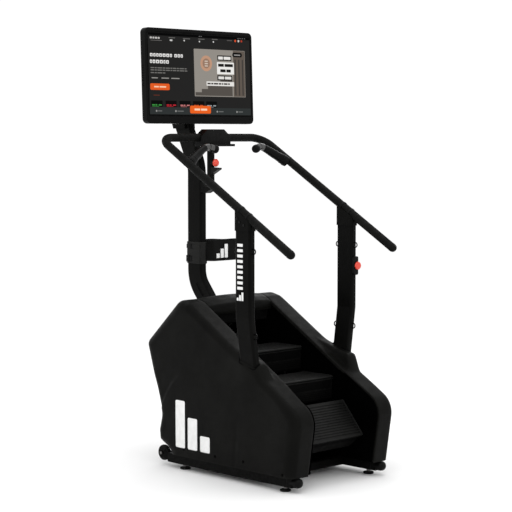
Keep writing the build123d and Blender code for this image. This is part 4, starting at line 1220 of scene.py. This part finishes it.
# =====================================================================================
# accessory holder and its strap on the mast
# =====================================================================================
def holder():
    cx, cy, L, W = 0.134, 0.893, 0.236, 0.076
    z0, z1 = 1.005, 1.1125
    r = W / 2
    base = []
    for k in range(25):
        a = math.radians(-90 + 180 * k / 24)
        base.append((cx + L / 2 - r + r * math.cos(a), cy + r * math.sin(a)))
    for k in range(1, 12):
        base.append((cx + L / 2 - r - (L - 2 * r) * k / 12, cy + r))
    for k in range(25):
        a = math.radians(90 + 180 * k / 24)
        base.append((cx - L / 2 + r + r * math.cos(a), cy + r * math.sin(a)))
    for k in range(1, 12):
        base.append((cx - L / 2 + r + (L - 2 * r) * k / 12, cy - r))
    n = len(base)
    rows = [(0.0, 0.006), (0.002, 0.0015), (0.005, 0.0), (0.03, -0.0004), (0.055, 0.0), (0.08, 0.0005), (0.098, 0.0), (0.1035, -0.0006), (0.1065, 0.0)]
    verts, faces = [], []
    for k, (h, ins) in enumerate(rows):
        for i, (x, y) in enumerate(base):
            q = Vector((x - cx, y - cy))
            f = 1 - ins / 0.03
            wob = 0.0016 * math.sin(31 * x + 17 * y + 3) * (h / 0.1065)
            fold = 0.0022 * math.exp(-((x - 0.028) / 0.006) ** 2) * (1 if y < cy else 0)
            lip = 0.0030 * math.sin(26 * (x - 0.02)) * (h / 0.1065) ** 3
            verts.append((cx + q.x * f, Y(cy + q.y * f * (1 + 0.0) + (wob if y < cy else -wob) + fold), z0 + h + lip))
    for k in range(len(rows) - 1):
        for i in range(n):
            j = (i + 1) % n
            faces.append((k * n + i, k * n + j, (k + 1) * n + j, (k + 1) * n + i))
    faces.append(tuple(range(n))[::-1])
    o = new_obj("holder_pocket", verts, faces, M_HOLDER, "chassis", True)
    bm = bmesh.new()
    bm.from_mesh(o.data)
    bmesh.ops.recalc_face_normals(bm, faces=bm.faces)
    f = min(bm.faces, key=lambda q: q.calc_center_median().z)
    if f.normal.z > 0:
        bmesh.ops.reverse_faces(bm, faces=bm.faces)
    bm.to_mesh(o.data)
    bm.free()
    sharp_by_angle(o.data, 45)
    so = o.modifiers.new("sheet", "SOLIDIFY")
    so.thickness = 0.0030
    so.offset = -1
    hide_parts("accessory_holder")
    # hem along the top edge
    top = [(x, Y(y), 0) for x, y in base]
    path = []
    for i, (x, y) in enumerate(base):
        path.append(Vector(verts[(len(rows) - 1) * n + i]))
    hem = tube("holder_hem", path + [path[0]], [0.0022] * (n + 1), M_HOLDER, "chassis", 12, caps=False)
    # strap block round the mast
    zc, hh = 1.0500, 0.1120
    out = rrect(-0.0258, 0.931 - 0.0560, 0.0258, 0.931 + 0.0560, 0.013, 6)
    inn = rrect(-0.0213, 0.931 - 0.0513, 0.0213, 0.931 + 0.0513, 0.0092, 6)
    m = len(out)
    verts, faces = [], []
    ring = [(inn, zc - hh / 2), (out, zc - hh / 2 + 0.0010), (out, zc - hh / 2 + 0.004), (out, zc + hh / 2 - 0.004), (out, zc + hh / 2 - 0.0010), (inn, zc + hh / 2)]
    for L_, z in ring:
        verts += [(p[0], Y(p[1]), z) for p in L_]
    for k in range(len(ring)):
        k2 = (k + 1) % len(ring)
        for i in range(m):
            j = (i + 1) % m
            faces.append((k * m + i, k * m + j, k2 * m + j, k2 * m + i))
    o = new_obj("holder_strap", verts, faces, M_STRAP, "chassis", True)
    recalc(o)
    sharp_by_angle(o.data, 35)
    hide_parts("accessory_holder")
    for k, z in enumerate((1.018, 1.082)):
        rbox("holder_strap_band_%d" % k, (-0.0268, Y(0.931), z), (0.0030, 0.100, 0.020), 0.0012, M_STRAP, "chassis")
        rbox("holder_strap_buckle_%d" % k, (-0.0282, Y(0.948), z), (0.0036, 0.018, 0.024), 0.0014, M_PLASTIC, "chassis")
    rbox("holder_latch", (-0.0290, Y(0.969), 1.0190), (0.0062, 0.022, 0.034), 0.0022, M_PLASTIC, "chassis")
    # tab from the strap to the pocket
    rbox("holder_tab", (0.020, Y(0.8830), 1.058), (0.030, 0.016, 0.094), 0.004, M_HOLDER, "chassis")
    bars_mark("holder_mark", frame_of((0.066, Y(0.8545), 1.021), (1, 0, 0), (0, 0, 1)), 0.078, 0.070, M_WHITE, 3, 0.0010)


holder()


# =====================================================================================
# grips
# =====================================================================================
def smooth_path(ctrl, n=40):
    """Points along a Catmull-Rom curve through the control points, with its running parameter."""
    P = [np.array(p, float) for p in ctrl]
    P = [2 * P[0] - P[1]] + P + [2 * P[-1] - P[-2]]
    out = []
    for k in range(1, len(P) - 2):
        for j in range(n):
            t = j / n
            a, b, c, d = P[k - 1], P[k], P[k + 1], P[k + 2]
            out.append(0.5 * ((2 * b) + (-a + c) * t + (2 * a - 5 * b + 4 * c - d) * t * t + (-a + 3 * b - 3 * c + d) * t ** 3))
    out.append(P[-2])
    return out


def grips():
    G = [(0.331, 0.614, 1.515), (0.268, 0.634, 1.552), (0.190, 0.650, 1.590), (0.140, 0.640, 1.582)]
    for s in (-1, 1):
        nm = "left" if s < 0 else "right"
        pts = smooth_path(G, 14)
        w = [Vector((s * p[0], Y(p[1]), p[2])) for p in pts]
        n = len(w)
        rad = []
        for i in range(n):
            t = i / (n - 1) * 3
            if t < 1.0:
                rad.append(0.0265 - 0.0045 * float(sstep(np.array([t]), 0.1, 1.0)[0]))
            elif t < 1.85:
                rad.append(0.0220 - 0.0040 * float(sstep(np.array([t]), 1.0, 1.85)[0]))
            else:
                rad.append(0.0168)
        o = tube("grip_core_" + nm, w, rad, M_PLASTIC, "chassis", 36)
        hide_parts("grip_bars")
        # moulding rings at the thick end
        for k, i in enumerate((3, 6)):
            t = (w[i + 1] - w[i - 1]).normalized()
            lathe("grip_ring_%s_%d" % (nm, k), [(rad[i] - 0.001, -0.0022), (rad[i] + 0.0009, -0.0016), (rad[i] + 0.0012, 0), (rad[i] + 0.0009, 0.0016), (rad[i] - 0.001, 0.0022)],
                  w[i], t, M_PLASTIC, "chassis", 36)
        # two contact sleeves with a dark spacer between
        for k, (a, b) in enumerate(((1.88, 2.32), (2.38, 2.86))):
            ia, ib = int(a / 3 * (n - 1)), int(b / 3 * (n - 1))
            seg = w[ia:ib + 1]
            rr = [0.0196] * len(seg)
            rr[0] = rr[-1] = 0.0184
            seg = [seg[0]] + [seg[0].lerp(seg[1], 0.15)] + seg[1:-1] + [seg[-1].lerp(seg[-2], 0.15)] + [seg[-1]]
            rr = [0.0174, 0.0184] + [0.0184] * (len(seg) - 4) + [0.0184, 0.0174]
            o = tube("grip_contact_%s_%d" % (nm, k), seg, rr, M_CHROME, "chassis", 40)
            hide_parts("grip_contacts")
        # end cap
        i = n - 1
        t = (w[i] - w[i - 2]).normalized()
        c = w[i]
        o = lathe("grip_cap_" + nm, [(0, 0.0175), (0.008, 0.0172), (0.0145, 0.0152), (0.0190, 0.0110), (0.0208, 0.0050), (0.0212, 0.0), (0.0208, -0.0075),
                                     (0.0190, -0.0100), (0.0160, -0.0105), (0, -0.0105)], c, t, M_PLASTIC, "chassis", 40)
        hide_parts("grip_end_caps")
        # clamp where the grip meets the rail
        lathe("grip_root_" + nm, [(0.0250, -0.006), (0.0272, -0.004), (0.0278, 0.002), (0.0262, 0.009), (0.0245, 0.011)],
              w[2], (w[3] - w[1]).normalized(), M_PLASTIC, "chassis", 40)


grips()


# =====================================================================================
# mast, collars, handrail details
# =====================================================================================
d_low = Vector((0, 0.146, 0.180)).normalized()
for s in (-1, 1):
    ex = d_low
    ey = Vector((0, -s * d_low.z, s * d_low.y))
    M = frame_of((s * 0.0210, Y(0.887), 0.862), ex, ey)
    if M.to_3x3().col[2].x * s < 0:
        M = frame_of((s * 0.0210, Y(0.887), 0.862), ex, -ey)
    prism("mast_slot_%s" % ("l" if s < 0 else "r"), rrect(-0.041, -0.0068, 0.041, 0.0068, 0.0067, 8), M, -0.0006, 0.00035, M_DARK, "chassis")
    ring_o, ring_i = rrect(-0.044, -0.0098, 0.044, 0.0098, 0.0097, 8), rrect(-0.041, -0.0068, 0.041, 0.0068, 0.0067, 8)
    verts, faces = [], []
    for L_, z in ((ring_o, -0.0004), (ring_o, 0.0008), (ring_i, 0.0010), (ring_i, -0.0004)):
        verts += [M @ Vector((p[0], p[1], z)) for p in L_]
    m = len(ring_o)
    for k in range(4):
        k2 = (k + 1) % 4
        for i in range(m):
            j = (i + 1) % m
            faces.append((k * m + i, k * m + j, k2 * m + j, k2 * m + i))
    o = new_obj("mast_slot_rim_%s" % ("l" if s < 0 else "r"), verts, faces, M_POWDER, "chassis", True)
    recalc(o)
    sharp_by_angle(o.data, 40)

RAIL_A, RAIL_B = np.array((-0.093, 1.108)), np.array((0.815, 1.6376))
rd = (RAIL_B - RAIL_A) / np.linalg.norm(RAIL_B - RAIL_A)
for s in (-1, 1):
    nm = "left" if s < 0 else "right"
    ax = Vector((0, rd[0], rd[1]))
    # seam rings of the sleeve at its lower end and near the upper bend
    for k, t in enumerate((0.006, 0.78)):
        p = RAIL_A + rd * (t if k == 0 else t * np.linalg.norm(RAIL_B - RAIL_A))
        lathe("rail_ring_%s_%d" % (nm, k), [(0.0200, -0.0030), (0.0211, -0.0022), (0.0214, 0.0), (0.0211, 0.0022), (0.0200, 0.0030)],
              (s * 0.349, Y(p[0]), p[1]), ax, M_PLASTIC, "chassis", 40)
    # saddle under the rail at the post's top, as two bands
    zc = 1.108 + (0.208 + 0.093) * rd[1] / rd[0]
    for k, t in enumerate((-0.030, 0.030)):
        c = Vector((s * 0.349, Y(0.208), zc)) + ax * t
        lathe("saddle_band_%s_%d" % (nm, k), [(0.0205, -0.006), (0.0222, -0.0052), (0.0226, 0), (0.0222, 0.0052), (0.0205, 0.006)], c, ax, M_PLASTIC, "chassis", 44)


# =====================================================================================
# feet and wheels
# =====================================================================================
for nm, s, y in (("foot_front_left", -1, 0.0), ("foot_front_right", 1, 0.0), ("foot_rear_left", -1, 0.701), ("foot_rear_right", 1, 0.701)):
    c = (s * 0.288, Y(y), 0.0)
    o = lathe(nm + "_pad", [(0, 0.0), (0.0235, 0.0), (0.0250, 0.0008), (0.0260, 0.0022), (0.0260, 0.0040), (0.0252, 0.0046), (0.0252, 0.0052), (0.0260, 0.0058),
                            (0.0258, 0.0072), (0.0232, 0.0096), (0.0186, 0.0114), (0.0150, 0.0121), (0.0120, 0.0122), (0, 0.0122)], c, (0, 0, 1), M_RUBBER, nm, 56, 50)
    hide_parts(nm)
    prof = [(0, 0.0118), (0.0092, 0.0118), (0.0092, 0.0150), (0.0060, 0.0158)]
    z = 0.0158
    while z < 0.0640:
        prof += [(0.0060, z), (0.0053, z + 0.0008), (0.0060, z + 0.0016)]
        z += 0.0016
    prof += [(0.0050, 0.0655), (0, 0.0660)]
    o = lathe(nm + "_stem", prof, c, (0, 0, 1), M_SCREW_STEEL, nm, 28, 35)
    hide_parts(nm)
    hexa = [(0.0098 * math.cos(math.radians(60 * k + 10)), 0.0098 * math.sin(math.radians(60 * k + 10))) for k in range(6)]
    o = prism(nm + "_nut", hexa, Matrix.Translation(c), 0.0160, 0.0226, M_SCREW_STEEL, nm, 0.0008)
    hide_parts(nm)

for nm, s in (("wheel_left", -1), ("wheel_right", 1)):
    c = (s * 0.288, Y(0.858), 0.061)
    prof = [(0.0061, -0.0120), (0.0105, -0.0120), (0.0112, -0.0112), (0.0112, -0.0086), (0.0140, -0.0078), (0.0245, -0.0072), (0.0262, -0.0080), (0.0268, -0.0106),
            (0.0282, -0.0116), (0.0300, -0.0112), (0.0306, -0.0102), (0.0318, -0.0106), (0.0345, -0.0110), (0.0372, -0.0092), (0.0386, -0.0060), (0.0390, -0.0030),
            (0.0384, -0.0012), (0.0390, 0.0000), (0.0384, 0.0012), (0.0390, 0.0030), (0.0386, 0.0060), (0.0372, 0.0092), (0.0345, 0.0110), (0.0318, 0.0106),
            (0.0306, 0.0102), (0.0300, 0.0112), (0.0282, 0.0116), (0.0268, 0.0106), (0.0262, 0.0080), (0.0245, 0.0072), (0.0140, 0.0078), (0.0112, 0.0086),
            (0.0112, 0.0112), (0.0105, 0.0120), (0.0061, 0.0120), (0.0061, -0.0120)]
    o = lathe(nm + "_tyre", prof, c, (1, 0, 0), M_RUBBER, nm, 64, 30)
    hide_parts(nm)
    for k in range(6):
        a = math.radians(60 * k)
        for f in (-1, 1):
            p = Vector(c) + Vector((f * 0.0078, math.cos(a) * 0.0185, math.sin(a) * 0.0185))
            o = rbox("%s_web_%d_%s" % (nm, k, "a" if f < 0 else "b"), (0, 0, 0), (0.0030, 0.0130, 0.0036), 0.0010, M_PLASTIC, nm, seg=2)
            place(o, Matrix.Translation(p) @ Matrix.Rotation(a, 4, "X"), nm)
    for f in (-1, 1):
        lathe("%s_axle_end_%s" % (nm, "a" if f < 0 else "b"), [(0, 0.0048), (0.0046, 0.0048), (0.0066, 0.0040), (0.0076, 0.0020), (0.0078, 0.0), (0, 0.0)],
              (s * 0.288 + f * 0.0228, Y(0.858), 0.061), (f, 0, 0), M_SCREW_STEEL, "chassis", 28)


# =====================================================================================
# fasteners, seams and the back of the body
# =====================================================================================
def cap_screw(name, c, axis, r=0.0048, mat=None, body="chassis"):
    lathe(name, [(0, 0.0008), (r * 0.30, 0.0008), (r * 0.42, 0.0010), (r * 0.46, 0.0024), (r * 0.80, 0.0024), (r * 0.96, 0.0017), (r, 0.0006), (r * 1.02, 0.0), (r * 1.5, -0.0001),
                 (r * 1.55, -0.0006), (0, -0.0006)], c, axis, mat or M_DARK_STEEL, body, 28, 35)


for s in (-1, 1):
    shape_side(s)
    nm = "l" if s < 0 else "r"
    # lower edge screws of the flank
    for k, (y, z) in enumerate(((-0.032, 0.086), (0.235, 0.110), (0.431, 0.107), (0.660, 0.110))):
        x = float(panel_x(np.array([[y, z]]))[0])
        cap_screw("flank_screw_%s_%d" % (nm, k), (s * (x + 0.0002), Y(y), z), (s, 0, 0), 0.0050, M_DARK)

# louvres low on the back, between the flanks
def outline_at(z):
    """Largest Y of the body's outline at a height, and the outward direction there."""
    best = None
    for a, b in zip(OUTLINE, np.roll(OUTLINE, -1, 0)):
        if (a[1] - z) * (b[1] - z) <= 0 and abs(a[1] - b[1]) > 1e-9:
            t = (z - a[1]) / (b[1] - a[1])
            y = a[0] + (b[0] - a[0]) * t
            if best is None or y > best[0]:
                d_ = (b - a) / np.linalg.norm(b - a)
                nn = np.array((-d_[1], d_[0]))
                if nn[0] < 0:
                    nn = -nn
                best = (y, nn)
    return best


for k in range(9):
    z = 0.330 + k * 0.022
    y, nn = outline_at(z)
    up = Vector((0, -nn[1], nn[0]))
    if up.z < 0:
        up = -up
    M = frame_of((0, Y(y), z), (-1, 0, 0), up)
    if M.to_3x3().col[2].y < 0:
        M = frame_of((0, Y(y), z), (1, 0, 0), up)
    prism("back_louvre_%d" % k, rrect(-0.120, -0.0052, 0.120, 0.0052, 0.0050, 7), M, -0.002, 0.0012, M_DARK, "chassis", 0.0006)
    o = rbox("back_louvre_blade_%d" % k, (0, 0, 0), (0.244, 0.0030, 0.0044), 0.0012, M_BODY, "chassis", seg=3)
    place(o, M @ Matrix.Translation((0, 0.0064, 0.0016)), "chassis")
for k, (x, z) in enumerate(((-0.185, 0.30), (0.185, 0.30), (-0.185, 0.54), (0.185, 0.54), (-0.185, 0.69), (0.185, 0.69))):
    y, nn = outline_at(z)
    cap_screw("back_screw_%d" % k, (x, Y(y) + nn[0] * (0.0008 if z < 0.56 else 0.0030), z + nn[1] * (0.0008 if z < 0.56 else 0.0030)), (0, nn[0], nn[1]), 0.0050)

# shadowed joint round the post's foot on both covers
for s in (-1, 1):
    shape_side(s)
    nm = "left" if s < 0 else "right"
    up = np.array([p for p in SH["outer"] if 0.05 < p[0] < 0.45 and p[1] > 0.44])
    up = up[np.argsort(up[:, 0])]
    loop = []
    for x, y in rrect(-0.0212, -0.0530, 0.0212, 0.0530, 0.0135, 6):
        yy = 0.208 + y
        z = float(np.interp(yy, up[:, 0], up[:, 1]))
        px = 0.348 - 0.14 * (0.800 - z) + x
        if px > 0.30:
            z -= 0.040 * max(0.0, (px - 0.300) / 0.036) ** 2 * 0.6
        loop.append(Vector((s * px, Y(yy), z + 0.0008)))
    tube("post_foot_joint_" + nm, loop + [loop[0]], [0.0030] * (len(loop) + 1), M_DARK, "chassis", 12, caps=False)

# rounded sleeves over the ends of the base rails
for s in (-1, 1):
    nm = "left" if s < 0 else "right"
    o = rbox("rail_end_sleeve_" + nm, (s * 0.288, Y(-0.0665), 0.0475), (0.0506, 0.0730, 0.0456), 0.0215, M_PLASTIC, "chassis", seg=9)
    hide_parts("base_end_caps")
    rbox("rail_end_ring_" + nm, (s * 0.288, Y(-0.0345), 0.0475), (0.0516, 0.0050, 0.0466), 0.0022, M_PLASTIC, "chassis", seg=3)

# =====================================================================================
# camera, light, floor
# =====================================================================================
def stage_setup():
    cam_data = bpy.data.cameras.new("camera")
    cam = bpy.data.objects.new("camera", cam_data)
    SCN.collection.objects.link(cam)
    C = Vector((-5.566, -5.265 + FY, 1.65))
    psi, pitch = math.radians(44.018), math.radians(4.252)
    d = Vector((math.sin(psi) * math.cos(pitch), math.cos(psi) * math.cos(pitch), -math.sin(pitch)))
    cam.location = C
    cam.rotation_euler = d.to_track_quat("-Z", "Y").to_euler()
    cam_data.sensor_width = 36.0
    cam_data.lens = 1624.5 * 36.0 / 512.0
    cam_data.clip_end = 100
    SCN.camera = cam

    w = bpy.data.worlds.new("studio")
    SCN.world = w
    w.use_nodes = True
    bg = w.node_tree.nodes["Background"]
    bg.inputs[0].default_value = (1, 1, 1, 1)
    bg.inputs[1].default_value = 1.06

    me = bpy.data.meshes.new("floor")
    me.from_pydata([(-40, -40, 0), (40, -40, 0), (40, 40, 0), (-40, 40, 0)], [], [(0, 1, 2, 3)])
    fl = bpy.data.objects.new("floor", me)
    SCN.collection.objects.link(fl)
    a = Mat("pale_floor")
    a.color(a.mix(a.remap(a.noise(0.6, 3), 0.3, 0.7, 0, 1), (0.955, 0.955, 0.955), (0.965, 0.965, 0.965)))
    a.rough(a.remap(a.noise(2.0, 3), 0.3, 0.7, 0.85, 0.95))
    a.set(Specular_IOR_Level=0.0)
    me.materials.append(a.m)

    def area(name, loc, target, size, power):
        ld = bpy.data.lights.new(name, "AREA")
        ld.shape = "RECTANGLE"
        ld.size, ld.size_y = size
        ld.energy = power
        lo = bpy.data.objects.new(name, ld)
        SCN.collection.objects.link(lo)
        lo.location = Vector(loc)
        lo.rotation_euler = (Vector(target) - Vector(loc)).to_track_quat("-Z", "Y").to_euler()
        return lo

    area("key", (-1.2, -2.6, 4.2), (0, 0, 0.8), (2.6, 2.0), 34)
    area("top", (0.5, 0.6, 4.6), (0, 0, 0.8), (3.0, 2.4), 24)
    area("rim", (3.6, 2.2, 2.6), (0, 0, 1.0), (2.0, 2.4), 16)
    SCN.view_settings.view_transform = "Standard"


stage_setup()
